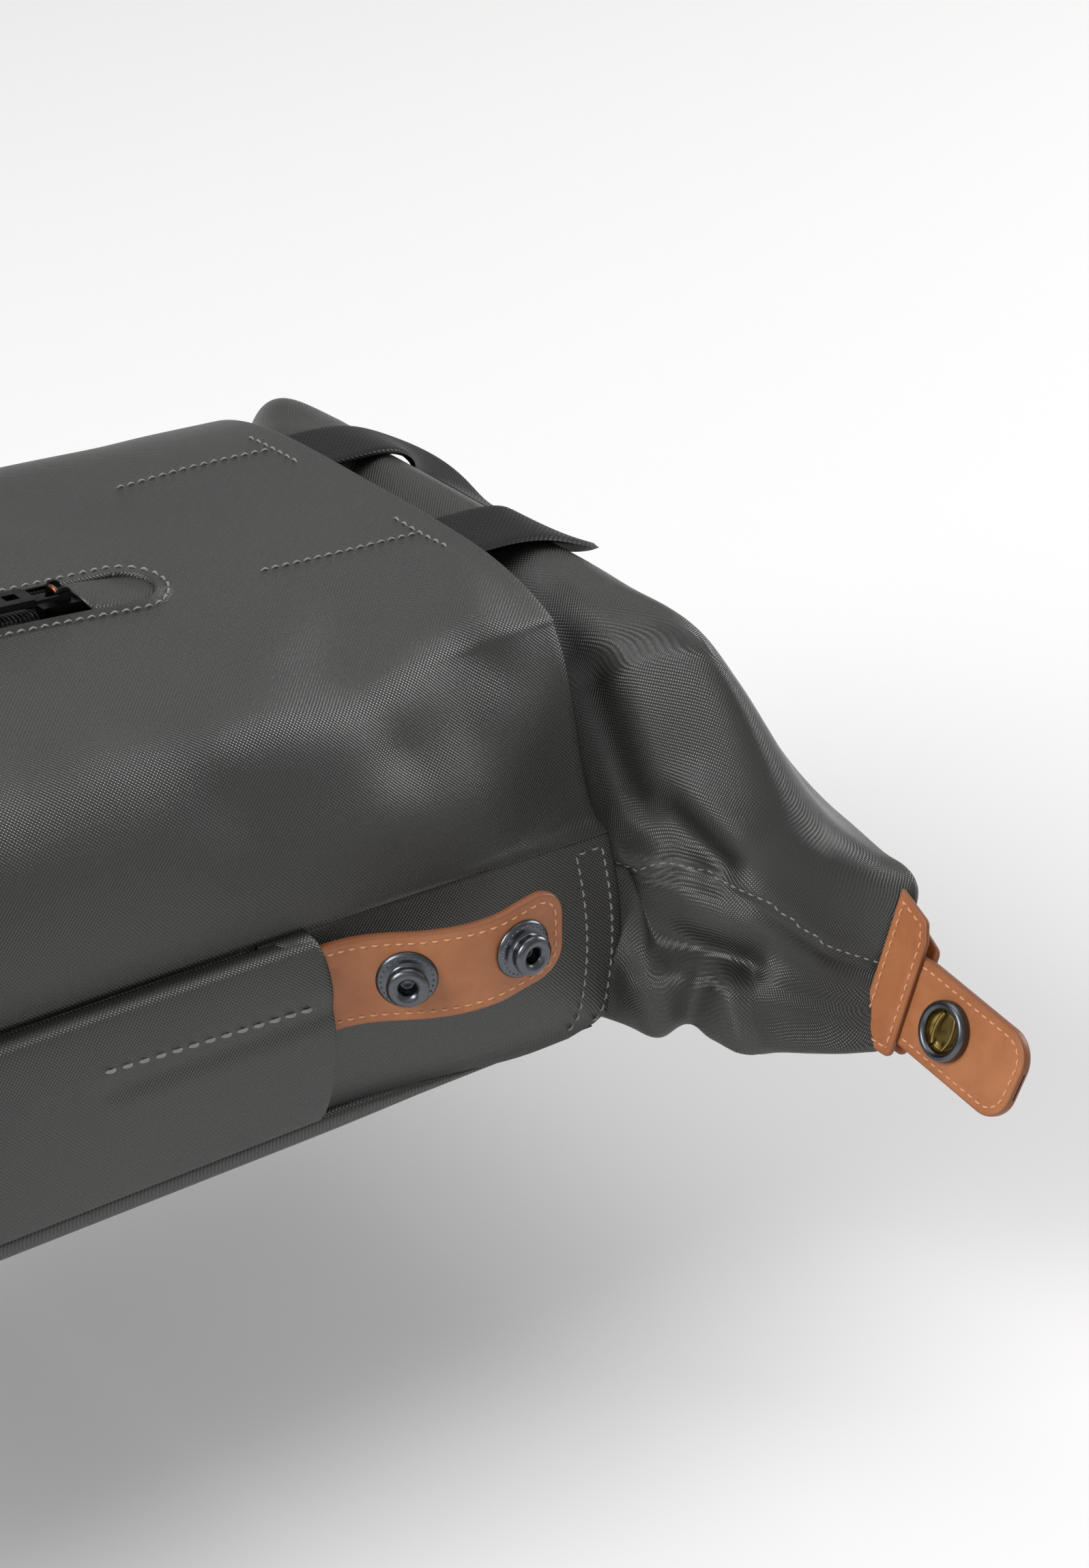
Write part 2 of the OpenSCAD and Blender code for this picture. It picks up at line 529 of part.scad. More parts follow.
left_side() stud_backs();  // stud_backs_left
handle_webbing();
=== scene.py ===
import math

import bpy
from mathutils import Matrix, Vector
import numpy as np


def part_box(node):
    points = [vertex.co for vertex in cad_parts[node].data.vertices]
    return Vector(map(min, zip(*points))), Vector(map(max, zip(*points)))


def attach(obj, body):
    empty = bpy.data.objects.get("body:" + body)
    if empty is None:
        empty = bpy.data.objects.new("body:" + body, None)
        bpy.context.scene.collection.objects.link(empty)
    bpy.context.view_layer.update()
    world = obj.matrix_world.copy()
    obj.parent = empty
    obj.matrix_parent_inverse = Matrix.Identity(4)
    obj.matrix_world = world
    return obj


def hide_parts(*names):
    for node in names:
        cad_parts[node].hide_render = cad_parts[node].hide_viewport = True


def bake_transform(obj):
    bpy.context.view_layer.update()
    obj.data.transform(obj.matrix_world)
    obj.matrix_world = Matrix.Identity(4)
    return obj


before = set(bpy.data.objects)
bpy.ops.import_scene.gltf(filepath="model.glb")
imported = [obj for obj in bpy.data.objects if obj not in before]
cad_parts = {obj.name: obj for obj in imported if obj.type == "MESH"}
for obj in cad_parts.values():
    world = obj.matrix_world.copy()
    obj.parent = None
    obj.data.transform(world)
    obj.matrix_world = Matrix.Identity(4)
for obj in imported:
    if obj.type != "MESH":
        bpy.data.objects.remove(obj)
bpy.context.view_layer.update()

# ---- Studio -------------------------------------------------------------------------------------
# A pale seamless floor and wall well below the bag, four soft lamps (above, in front, to the right and
# to the left), and a camera that looks down on the bag's right side and open collar.

MM = 0.001


def linear(hex_colour):
    """sRGB hex to linear colour: c/12.92 below 0.04045, else ((c + 0.055)/1.055)^2.4."""
    c = np.array([int(hex_colour[i:i + 2], 16) for i in (1, 3, 5)]) / 255
    c = np.where(c <= 0.04045, c / 12.92, ((c + 0.055) / 1.055) ** 2.4)
    return (*c.tolist(), 1.0)


def add(tree, kind, feeds=None, **settings):
    """Adds one node with its settings; feeds gives an input a value, or a link when it is a socket."""
    made = tree.nodes.new(kind)
    for key, value in settings.items():
        setattr(made, key, value)
    for key, value in (feeds or {}).items():
        if isinstance(value, bpy.types.NodeSocket):
            tree.links.new(value, made.inputs[key])
        else:
            made.inputs[key].default_value = value
    return made


def new_material(name):
    """An empty material; returns it with its tree and its principled shader."""
    m = bpy.data.materials.new(name)
    m.use_nodes = True
    return m, m.node_tree, m.node_tree.nodes["Principled BSDF"]


def unit(v):
    """Each vector over its length."""
    return v / np.maximum(np.linalg.norm(v, axis=-1, keepdims=True), 1e-9)


def make_mesh(name, verts, faces, material, uv=None, side=1):
    """A mesh object from vertices in mm and faces; uv holds one pair for each vertex, in metres. The
    left side's pieces (side -1) are the right side's mirrored."""
    if side < 0:
        verts = np.asarray(verts, float).reshape(-1, 3) * (1, -1, 1)
        faces = np.asarray(faces)[:, ::-1]
    mesh = bpy.data.meshes.new(name)
    verts = np.asarray(verts, float).reshape(-1, 3) * MM
    mesh.from_pydata(verts.tolist(), [], np.asarray(faces).tolist())
    mesh.update()
    if uv is not None:
        layer = mesh.uv_layers.new(name="cloth")
        corner = np.empty(len(mesh.loops), np.int32)
        mesh.loops.foreach_get("vertex_index", corner)
        layer.data.foreach_set("uv", np.asarray(uv, np.float32).reshape(-1, 2)[corner].ravel())
    mesh.polygons.foreach_set("use_smooth", np.full(len(mesh.polygons), True))
    mesh.materials.append(material)
    piece = bpy.data.objects.new(name, mesh)
    bpy.context.collection.objects.link(piece)
    return piece


# Matt white paint: even and nearly shadowless.
floor_material, tree, shader = new_material("matt_white_paint")
shader.inputs["Base Color"].default_value = linear("#eae9e9")
shader.inputs["Roughness"].default_value = 0.7
FLOOR_DROP = -115.0
FLOOR_NEAR, FLOOR_RUN, FLOOR_BEND, WALL_RISE = -1800, 6400, 500, 4500
sweep_s = np.linspace(0, 1, 40)     # floor to 0.6, bend to 0.7, then wall
sweep_a = np.clip((sweep_s - 0.6) / 0.1, 0, 1) * math.pi / 2
toward = np.array([0.531, 0.705])
sweep_far = np.minimum(sweep_s / 0.6, 1) * FLOOR_RUN + FLOOR_NEAR + FLOOR_BEND * np.sin(sweep_a)
sweep_up = FLOOR_BEND * (1 - np.cos(sweep_a)) + np.clip((sweep_s - 0.7) / 0.3, 0, 1) * WALL_RISE
across = np.linspace(-5000, 5000, 12)
floor_points = np.stack([
    sweep_far[:, None] * toward[0] + across[None] * toward[1],
    sweep_far[:, None] * toward[1] - across[None] * toward[0],
    sweep_up[:, None] + FLOOR_DROP + 0 * across[None]], axis=-1)
n, m = floor_points.shape[:2]
i, j = np.meshgrid(np.arange(n - 1), np.arange(m - 1), indexing="ij")
quads = np.stack([i * m + j, i * m + j + 1, (i + 1) * m + j + 1, (i + 1) * m + j], -1).reshape(-1, 4)
floor = make_mesh("floor", floor_points, quads[:, ::-1], floor_material)


def aimed(place, back):
    """The matrix that sets an object at place, in mm, with its own Z along back and its X level."""
    z = unit(np.array(back, float))
    x = unit(np.cross([0, 0, 1.0], z))
    y = np.cross(z, x)
    return Matrix([(x[k], y[k], z[k], place[k] * MM) for k in range(3)] + [(0, 0, 0, 1)])


def lamp(name, place, target, size, watts):
    """A square soft lamp at place, turned to target, both in mm."""
    data = bpy.data.lights.new(name, "AREA")
    data.size = size * MM
    data.energy = watts
    holder = bpy.data.objects.new(name, data)
    bpy.context.collection.objects.link(holder)
    holder.matrix_world = aimed(place, np.array(place, float) - np.array(target, float))


lamp("overhead", (500, 500, 2300), (60, -40, 60), 1900, 18)
lamp("front_fill", (-1200, -2000, 1300), (80, -80, 60), 1800, 4)
lamp("right_soft", (2600, -250, 1050), (190, -80, 80), 1200, 40)
lamp("left_soft", (-1900, -100, 1600), (150, -80, 60), 1300, 52)
world = bpy.data.worlds.new("studio")
bpy.context.scene.world = world
world.use_nodes = True
world.node_tree.nodes["Background"].inputs["Color"].default_value = linear("#f2f2f2")
world.node_tree.nodes["Background"].inputs["Strength"].default_value = 0.40

look_at = np.array([155.5, -90.6, 70.9])
back_axis = unit(np.array([-0.531, -0.705, 0.4695]))
EYE_DISTANCE = 1140
camera_data = bpy.data.cameras.new("camera")
camera_data.lens = 100
camera_data.sensor_width = 36
camera_data.sensor_fit = "VERTICAL"
camera_data.sensor_height = 36
camera_data.clip_end = 50
camera = bpy.data.objects.new("camera", camera_data)
bpy.context.collection.objects.link(camera)
camera.matrix_world = aimed(look_at + EYE_DISTANCE * back_axis, back_axis)
bpy.context.scene.camera = camera
bpy.context.scene.view_settings.view_transform = "Standard"

# ---- Front panel --------------------------------------------------------------------------------
# One piece of waxed cotton canvas, 1.2 mm thick, bagged out with padding so that it bulges over the
# compartment. Its mouth edge is turned under and left free over the collar; its sides are sewn to the
# side panels, and a window is cut in it for the pocket's zip.

lo, hi = (np.array(corner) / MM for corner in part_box("front_panel"))
X_EDGE, X_BOTTOM = hi[0], lo[0]
HALF_W = hi[1]
SEAM_H, SEAM_RISE = 60.0, 6.0
EDGE_H, SLOPE = 122.0, 0.07
DOME_L, CORNER_R = 45.0, 25.0
CLOTH = 1.2
ZIP_Y = -26.0
ZIP_X1 = X_EDGE - 87.0
ZIP_X0 = ZIP_X1 - 175.0
ZIP_HALF = 8.5
zip_mid, zip_straight = (ZIP_X0 + ZIP_X1) / 2, (ZIP_X1 - ZIP_X0) / 2 - ZIP_HALF


def smooth(t):
    """3t^2 - 2t^3 with t held between 0 and 1."""
    t = np.clip(t, 0, 1)
    return t * t * (3 - 2 * t)


def grid_faces(n, m, wrap=False):
    """Quads of an n by m grid whose outside is the side that (along rows) x (along columns) points to."""
    cols = m if wrap else m - 1
    i, j = np.meshgrid(np.arange(n - 1), np.arange(cols), indexing="ij")
    k = (j + 1) % m
    return np.stack([i * m + j, (i + 1) * m + j, (i + 1) * m + k, i * m + k], -1).reshape(-1, 4)


def grid_normals(p):
    """Unit normals of a grid of points: the cross product of its two central differences."""
    return unit(np.cross(np.gradient(p, axis=0), np.gradient(p, axis=1)))


def closed(p):
    """A grid with its first column repeated after its last, which closes it round."""
    return np.concatenate([p, p[:, :1]], axis=1)


def run_lengths(p, axis):
    """Distance run along one axis of a grid of points, from its first point."""
    step = np.linalg.norm(np.diff(p, axis=axis), axis=-1)
    return np.insert(np.cumsum(step, axis=axis), 0, 0, axis=axis)


def cloth_uv(p):
    """Cloth coordinates in metres: mean distance run along each direction of the grid."""
    u = run_lengths(p, 0)
    v = run_lengths(p, 1)
    v = v - v[:, v.shape[1] // 2][:, None]
    return np.stack([u, v], -1) * MM


def press(p, normals, a, b, width, depth):
    """Pushes cloth in (or out, when depth is negative) along a crease from a to b: depth times
    exp(-(distance/width)^2), where distance is taken to the segment a-b."""
    a, b = np.array(a, float), np.array(b, float)
    t = np.clip(((p - a) @ (b - a)) / max(((b - a) ** 2).sum(), 1e-6), 0, 1)
    d = np.linalg.norm(p - (a + t[..., None] * (b - a)), axis=-1)
    return p - normals * (depth * np.exp(-((d / width) ** 2)))[..., None]


def sheet_piece(name, p, material, thick=CLOTH, keep=None, uv=None, side=1):
    """A cloth piece from a grid of outer points; Solidify gives it thickness inward."""
    faces = grid_faces(*p.shape[:2])
    if keep is not None:
        faces = faces[keep.ravel()]
    piece = make_mesh(name, p, faces, material, cloth_uv(p) if uv is None else uv, side)
    if thick:
        wall = piece.modifiers.new("thickness", "SOLIDIFY")
        wall.thickness = thick * MM
        wall.offset = -1
    return piece


# Waxed cotton canvas, plain woven, dark grey: a dull warm grey whose thread tops are polished by the wax and
# catch the light, with paler scuffs where it has creased. Its colour is also painted lighter on the thread
# tops and darker between them, as painted highlight and painted shade of the weave.
WEAVE = 1.1 * MM        # repeat of the weave; thread tops stand half of it apart, in a chequer


def cloth_material(name, dark, pale, weave=WEAVE, gloss=0.36, dull=0.62, depth=0.11):
    """Woven cloth on its UV map: height = sin(2 pi u/weave) sin(2 pi v/weave), glossier on its tops; its
    colour is painted lighter on the tops and darker in between, as painted highlight and shade.
    """
    m, tree, shader = new_material(name)
    uv = add(tree, "ShaderNodeUVMap", uv_map="cloth")
    scaled = add(tree, "ShaderNodeVectorMath", {0: uv.outputs[0], 1: (2 * math.pi / weave,) * 3},
                 operation="MULTIPLY")
    split = add(tree, "ShaderNodeSeparateXYZ", {0: scaled.outputs[0]})
    waves = [add(tree, "ShaderNodeMath", {0: split.outputs[k]}, operation="SINE") for k in (0, 1)]
    tops = add(tree, "ShaderNodeMath", {0: waves[0].outputs[0], 1: waves[1].outputs[0]}, operation="MULTIPLY")
    height = add(tree, "ShaderNodeMapRange", {"Value": tops.outputs[0], "From Min": -1.0})
    place = add(tree, "ShaderNodeTexCoord")
    slub = add(tree, "ShaderNodeTexNoise", {"Vector": place.outputs["Object"], "Scale": 900.0, "Detail": 2.0})
    cloud = add(tree, "ShaderNodeTexNoise", {"Vector": place.outputs["Object"], "Scale": 16.0, "Detail": 5.0,
                                            "Roughness": 0.6})
    shade = add(tree, "ShaderNodeMapRange", {"Value": cloud.outputs[0], "From Min": 0.3, "From Max": 0.75})
    tone = add(tree, "ShaderNodeMix", {0: shade.outputs[0], 6: linear(dark), 7: linear(pale)},
               data_type="RGBA")
    # painted highlight and shade: the colour is scaled from 0.72 in the weave's hollows to 1.12 on its thread
    # tops
    thread = add(tree, "ShaderNodeMapRange", {"Value": height.outputs[0], "To Min": 0.72, "To Max": 1.12})
    tone_with_painted_weave_light = add(tree, "ShaderNodeVectorMath", {0: tone.outputs[2], "Scale": thread.outputs[0]},
              operation="SCALE")
    tree.links.new(tone_with_painted_weave_light.outputs[0], shader.inputs["Base Color"])
    rough = add(tree, "ShaderNodeMapRange", {"Value": height.outputs[0], "To Min": dull, "To Max": gloss})
    tree.links.new(rough.outputs[0], shader.inputs["Roughness"])
    mixed = add(tree, "ShaderNodeMath", {0: slub.outputs[0], 1: 0.35, 2: height.outputs[0]},
                operation="MULTIPLY_ADD")
    bump = add(tree, "ShaderNodeBump", {"Height": mixed.outputs[0], "Strength": 0.75, "Distance": depth * MM})
    tree.links.new(bump.outputs[0], shader.inputs["Normal"])
    return m, shader


canvas, shader = cloth_material("waxed_canvas", "#20211f", "#2a2b28", gloss=0.22, dull=0.5, depth=0.2)
shader.inputs["Specular IOR Level"].default_value = 0.75


def section(count, a=4.0, b=2.5, across=HALF_W, up=62.0):
    """Points of the arch |y|^a + z^b = 1 at equal steps along it, as two arrays of shares."""
    q = np.linspace(-math.pi / 2, math.pi / 2, 4001)
    y = np.sign(np.sin(q)) * np.abs(np.sin(q)) ** (2 / a)
    z = np.abs(np.cos(q)) ** (2 / b)
    run = np.insert(np.cumsum(np.hypot(np.diff(y * across), np.diff(z * up))), 0, 0)
    at = np.linspace(0, run[-1], count)
    return np.interp(at, run, y), np.interp(at, run, z)


def seam_height(x):
    """Height of the side seam: it rises toward the bottom of the bag by a square law."""
    return SEAM_H + SEAM_RISE * (1 - ((x - X_BOTTOM) / (X_EDGE - X_BOTTOM)) ** 2)


def plan_half(x):
    """Half width of the bag in plan, with its two bottom corners rounded."""
    d = np.clip(X_BOTTOM + CORNER_R - x, 0, CORNER_R)
    return HALF_W - CORNER_R + np.sqrt(CORNER_R ** 2 - d ** 2)


def front_surface(x, sy, sz, depth=0.0):
    """Front panel at rows x and section shares sy, sz, sunk by depth: an arch over the seams that the
    rounded bottom end closes and that is drawn in beside the free edge."""
    dome_x = X_BOTTOM + DOME_L
    end = np.clip((dome_x - x) / (DOME_L - depth), 0, 1)
    dome = (1 - end ** 2.5) ** 0.4
    seam = seam_height(x)
    rise = (EDGE_H + SLOPE * (X_EDGE - x) - depth - seam) * dome
    z = seam[:, None] + rise[:, None] * sz[None]
    y = (plan_half(x) - depth)[:, None] * sy[None]
    q = np.clip((z - seam[:, None]) / 52, 0, 1)
    drawn_in = 25 * np.sqrt(q) * (1 - q) ** 0.7 * np.exp(-(((X_EDGE - x) / 34) ** 2))[:, None]
    y = y - np.sign(sy)[None] * drawn_in * (np.abs(sy)[None] > 0.5)
    return np.stack([np.broadcast_to(x[:, None], y.shape), y, z], -1)


dents = [   # (from, to, width, depth) in mm: soft hollows where the bag isn't filled
    ((118, -62, 124), (96, -78, 118), 15, 3.2),
    ((140, -84, 108), (112, -96, 98), 12, 3.0),
    ((70, -50, 128), (40, -66, 126), 20, 2.2),
    ((128, -92, 92), (60, -99, 96), 12, 2.0),
    ((150, -50, 122), (146, -76, 115), 10, -2.0),
    ((88, -86, 116), (60, -92, 112), 12, -1.6),
    ((100, 30, 126), (40, 55, 128), 22, 2.0),
    ((0, -80, 126), (-70, -70, 134), 20, 2.4),
    ((-30, 40, 134), (-90, 60, 134), 22, 2.2),
    ((120, 88, 106), (70, 97, 98), 13, 2.6),
    ((-60, -98, 104), (-110, -92, 110), 14, 2.4),
    ((-60, 97, 104), (-120, 90, 108), 14, 2.4),
]


def soften(p):
    """The dents pressed into a grid of points."""
    normals = grid_normals(p)
    for a, b, width, depth in dents:
        p = press(p, normals, a, b, width, depth)
    return p


sy, sz = section(171)
sy = -sy        # columns run from the left side to the right, so that the outside faces up
near_x = np.linspace(X_EDGE, X_BOTTOM + DOME_L, 116)
round_a = np.linspace(0, math.pi / 2, 26)[1:]
row_x = np.concatenate([near_x, X_BOTTOM + DOME_L - DOME_L * np.sin(round_a)])
panel = soften(front_surface(row_x, sy, sz))
panel_out = grid_normals(panel)
# the free edge is folded under on a small radius and runs back 18 mm inside
fold_r = 1.1
fold_a = np.linspace(math.pi, math.pi / 5, 6)
edge_row, edge_out = panel[0], panel_out[0]
ahead = np.array([1.0, 0, -0.06])
under = [edge_row - edge_out * (2 * fold_r) - ahead * back for back in (18, 12, 6, 2)]
turned = [edge_row - edge_out * fold_r * (1 - math.cos(a)) + ahead * fold_r * math.sin(a) for a in fold_a]
hem_rows = np.array(under + turned)
panel_all = np.concatenate([hem_rows, panel])
mid = (panel_all[:-1, :-1] + panel_all[1:, 1:]) / 2


def on_front(x, y):
    """Points and outward normals of the front panel above plan places x, y: linear between the two rows
    beside x, then linear between the two columns beside y."""
    x, y = np.broadcast_arrays(np.atleast_1d(np.asarray(x, float)), np.atleast_1d(np.asarray(y, float)))
    row = np.interp(-x, -row_x, np.arange(len(row_x)))
    k = np.minimum(row.astype(int), len(row_x) - 2)
    f = (row - k)[:, None, None]
    line, out = (grid[k] * (1 - f) + grid[k + 1] * f for grid in (panel, panel_out))
    c = np.clip((line[..., 1] > y[:, None]).sum(axis=1), 1, line.shape[1] - 1)
    one = np.arange(len(y))
    y0, y1 = line[one, c - 1, 1], line[one, c, 1]
    g = np.clip((y0 - y) / (y0 - y1), 0, 1)[:, None]
    points, normals = (rows[one, c - 1] * (1 - g) + rows[one, c] * g for rows in (line, out))
    return points, unit(normals)


past_end = np.maximum(0, np.abs(mid[..., 0] - zip_mid) - zip_straight)
in_zip = (np.hypot(past_end, mid[..., 1] - ZIP_Y) < ZIP_HALF) & (mid[..., 2] > 100)
front = sheet_piece("front_panel_canvas", panel_all, canvas, keep=~in_zip)
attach(front, "bag")
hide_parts("front_panel", "front_edge_facing")

# ---- Collar -------------------------------------------------------------------------------------
# A tube of the same canvas, sewn inside the mouth edge and long enough to roll. Lying unrolled it sags
# to the floor: bulging on top, flared to its two corners at the mouth, and crumpled beside the hem.

# Half rings of the tube from the middle of the back, over the right side, to the middle of the top.
collar_net = np.array([
    [(150, 0, 6), (150, -60, 6), (150, -90, 6), (150, -95, 20), (150, -96, 42),
     (150, -92, 62), (150, -81, 92), (150, -56, 108), (150, 0, 112)],
    [(165, 0, 2), (165, -60, 2), (165, -98, 1), (165, -103, 14), (167, -101, 40),
     (166, -96, 62), (166, -85, 95), (167, -58, 111), (167, 0, 114)],
    [(172, 0, 1), (172, -62, 1), (171, -112, 1), (171, -117, 13), (173, -109, 38),
     (172, -96, 62), (172, -83, 91), (174, -58, 109), (174, 0, 114)],
    [(181, 0, 1), (181, -70, 1), (179, -121, 1), (179, -124, 15), (182, -114, 40),
     (183, -105, 63), (185, -92, 98), (186, -62, 112), (186, 0, 117)],
    [(194, 0, 1), (194, -80, 1), (190, -139, 1), (191, -140, 13), (196, -131, 34),
     (200, -125, 63), (201, -106, 100), (201, -69, 108), (200, 0, 105)],
    [(205, 0, 1), (204, -88, 1), (202, -150, 1), (204, -151, 10), (210, -144, 25),
     (216, -138, 50), (218, -113, 72), (218, -71, 87), (217, 0, 84)],
    [(213, 0, 1), (213, -92, 1), (212, -156, 1), (215, -158, 9), (221, -154, 20),
     (231, -152, 45), (233, -114, 51), (235, -68, 62), (238, 0, 69)],
], float)


def through(points, count, wrap=False):
    """A Catmull-Rom curve through the points along axis 0, with count samples from end to end."""
    n = len(points)
    spans = n if wrap else n - 1
    at = np.linspace(0, spans, count, endpoint=not wrap)
    k = np.minimum(at.astype(int), spans - 1)
    f = (at - k).reshape((-1,) + (1,) * (points.ndim - 1))
    if wrap:
        p0, p1, p2, p3 = (points[(k + d) % n] for d in (-1, 0, 1, 2))
    else:
        ends = np.concatenate([2 * points[:1] - points[1:2], points, 2 * points[-1:] - points[-2:-1]])
        p0, p1, p2, p3 = (ends[k + d] for d in (0, 1, 2, 3))
    return 0.5 * (2 * p1 + (p2 - p0) * f + (2 * p0 - 5 * p1 + 4 * p2 - p3) * f ** 2
                  + (3 * p1 - p0 - 3 * p2 + p3) * f ** 3)


far_half = collar_net[:, 7:0:-1] * (1, -1, 1)
far_half[6, 1:3] += (0, 3, 9)       # the far corner lies a little higher
far_half[5, 1:3] += (0, 2, 4)
ring_net = np.concatenate([collar_net, far_half], axis=1)
along_net = through(ring_net, 90)
collar_points = through(along_net.transpose(1, 0, 2), 320, wrap=True).transpose(1, 0, 2)
collar_points = closed(collar_points)

creases = [     # (from, to, width, depth) in mm; a negative depth is a ridge
    ((173, -86, 92), (175, -98, 64), 7, 6.0),
    ((171, -82, 100), (174, -62, 110), 9, 3.0),
    ((184, -108, 58), (190, -120, 48), 5, 5.0),
    ((176, -101, 60), (181, -108, 50), 6, 4.0),
    ((188, -112, 66), (196, -122, 56), 7, -2.5),
    ((170, -107, 42), (176, -113, 28), 7, 6.0),
    ((177, -119, 28), (190, -134, 24), 5, 7.0),
    ((179, -121, -2), (184, -123, 16), 4, 7.0),
    ((186, -130, 18), (189, -136, 2), 6, -3.0),
    ((168, -112, 16), (173, -118, 4), 6, -2.0),
    ((196, -134, 40), (206, -144, 30), 8, -2.0),
    ((205, -100, 88), (222, -112, 64), 10, 2.0),
    ((222, -122, 56), (230, -140, 48), 8, 2.0),
    ((190, -60, 110), (214, -84, 90), 12, 1.5),
    ((206, 36, 104), (224, 52, 84), 12, 1.5),
    ((184, 107, 58), (196, 120, 40), 8, 5.0),
    ((180, 114, 30), (196, 132, 16), 7, 5.0),
    ((206, 118, 84), (228, 132, 62), 10, 4.0),
]
collar_out = grid_normals(collar_points)
for a, b, width, depth in creases:
    collar_points = press(collar_points, collar_out, a, b, width, depth)
seam_at = [(1, 4.3), (2, 4.22), (3, 4.18), (4, 4.15), (5, 3.98), (6, 4.02)]     # (station, ring column)
seam_rows = np.arange(18, 90)
seam_cols = np.interp(seam_rows * 6 / 89, *np.array(seam_at, float).T) * 20
for turned in (False, True):
    cols = 320 - seam_cols if turned else seam_cols
    gap_run = np.abs(np.arange(321)[None] - cols[:, None])
    groove = 0.9 * np.exp(-((gap_run / 1.3) ** 2)) - 0.35 * np.exp(-(((gap_run - 4) / 2) ** 2))
    collar_points[seam_rows] -= collar_out[seam_rows] * groove[..., None]
collar_points[..., 2] = np.maximum(collar_points[..., 2], 0.6)
mouth_row, mouth_out = collar_points[-1], collar_out[-1]
mouth_ahead = unit(collar_points[-1] - collar_points[-3])
mouth_in = mouth_row - mouth_out * 2.4
turned = [mouth_row - mouth_out * deep + mouth_ahead * on for deep, on in ((0.5, 0.7), (1.3, 1), (2.1, 0.5))]
hem_rows = np.array(turned + [mouth_in - mouth_ahead * back for back in (2, 10, 20)])
hem_rows[..., 2] = np.maximum(hem_rows[..., 2], 1.9)
collar_rows = np.concatenate([collar_points, hem_rows])
collar = sheet_piece("collar_canvas", collar_rows, canvas)
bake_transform(collar)
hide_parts("collar_front", "collar_back", "collar_side_right", "collar_side_left",
            "mouth_facing_front", "mouth_facing_back")
stitch_cols = np.round(seam_cols + 2.2).astype(int)
collar_seams = {sign: (collar_points[seam_rows, cols], collar_out[seam_rows, cols])
                for sign, cols in ((1, stitch_cols), (-1, 320 - stitch_cols))}

# ---- Side panels --------------------------------------------------------------------------------
# Straight bands of canvas between the front and the padded back. The mouth end is hemmed with a curved
# edge and two rows of saddle stitches, closed at the top by a short row.

BACK_SEAM = 8.0


def back_seam(x):
    """Height of the seam between side and back: 8 mm, falling to the floor beside the mouth."""
    return BACK_SEAM - 7.4 * smooth((x - 70) / 85)


def side_surface(x, t):
    """Right side panel at rows x and heights t from 0 at the back seam to 1 at the front seam; it bows
    out by 1.2 mm, and its mouth end runs forward in a curve that turns back at the floor."""
    low = back_seam(x)[:, None]
    z = low + (seam_height(np.minimum(x, X_EDGE))[:, None] - low) * t[None]
    ahead = 4.2 * np.sin(np.pi * (0.1 + 0.87 * t)) - 13.3 * np.exp(-t / 0.03)
    share = smooth((x - 110) / (X_EDGE - 110))
    xx = x[:, None] + ahead[None] * share[:, None]
    bow = 1.2 * np.sin(np.pi * t)[None]
    y = -(plan_half(np.minimum(x, X_EDGE))[:, None] - 0.6 + bow)
    return np.stack([xx, y, z], -1)


def stitches(name, path, normals, material, pitch, length, radius, body, side=1):
    """A row of thread stitches along a path: each is a six-sided strand that rises out of the cloth as
    sin(pi t) and sinks back at its ends. Body is a body's name that the row is attached to; any other value,
    such as the arguments of a blend, is not used, and the row is left fixed in place."""
    run = np.insert(np.cumsum(np.linalg.norm(np.diff(path, axis=0), axis=1)), 0, 0)
    count = max(2, int(run[-1] // pitch))
    at = (np.arange(count) + 0.5) * run[-1] / count
    t = np.linspace(0, 1, 7)
    where = at[:, None] + (t[None] - 0.5) * length
    middle = np.stack([np.interp(where, run, path[:, c]) for c in range(3)], -1)
    out = unit(np.stack([np.interp(where, run, normals[:, c]) for c in range(3)], -1))
    along = unit(np.gradient(middle, axis=1))
    across = np.cross(along, out)
    rise = radius * (1.5 * np.sin(np.pi * t) - 0.9)
    fat = radius * (0.55 + 0.45 * np.sin(np.pi * t))
    a = np.arange(6) * math.pi / 3
    height = rise[:, None] + fat[:, None] * np.sin(a)
    strand = (middle[:, :, None] + out[:, :, None] * height[None, ..., None]
              + across[:, :, None] * (fat[:, None] * np.cos(a))[None, ..., None])
    quads = np.concatenate([grid_faces(7, 6, wrap=True) + 42 * k for k in range(count)])
    piece = make_mesh(name, strand, quads, material, side=side)
    if isinstance(body, str):
        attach(piece, body)
    else:
        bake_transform(piece)


# Polyester sewing thread: matt and slightly hairy, with three plies.
def thread_material(name, colour):
    """A matt thread whose plies show as fine slanting ridges, 0.35 mm apart."""
    m, tree, shader = new_material(name)
    shader.inputs["Base Color"].default_value = linear(colour)
    shader.inputs["Roughness"].default_value = 0.6
    shader.inputs["Sheen Weight"].default_value = 0.3
    place = add(tree, "ShaderNodeTexCoord")
    plies = add(tree, "ShaderNodeTexWave", {"Vector": place.outputs["Object"], "Scale": 450.0,
                                            "Distortion": 1.5}, wave_type="BANDS", bands_direction="DIAGONAL")
    bump = add(tree, "ShaderNodeBump", {"Height": plies.outputs[1], "Strength": 0.6, "Distance": 0.1 * MM})
    tree.links.new(bump.outputs[0], shader.inputs["Normal"])
    return m


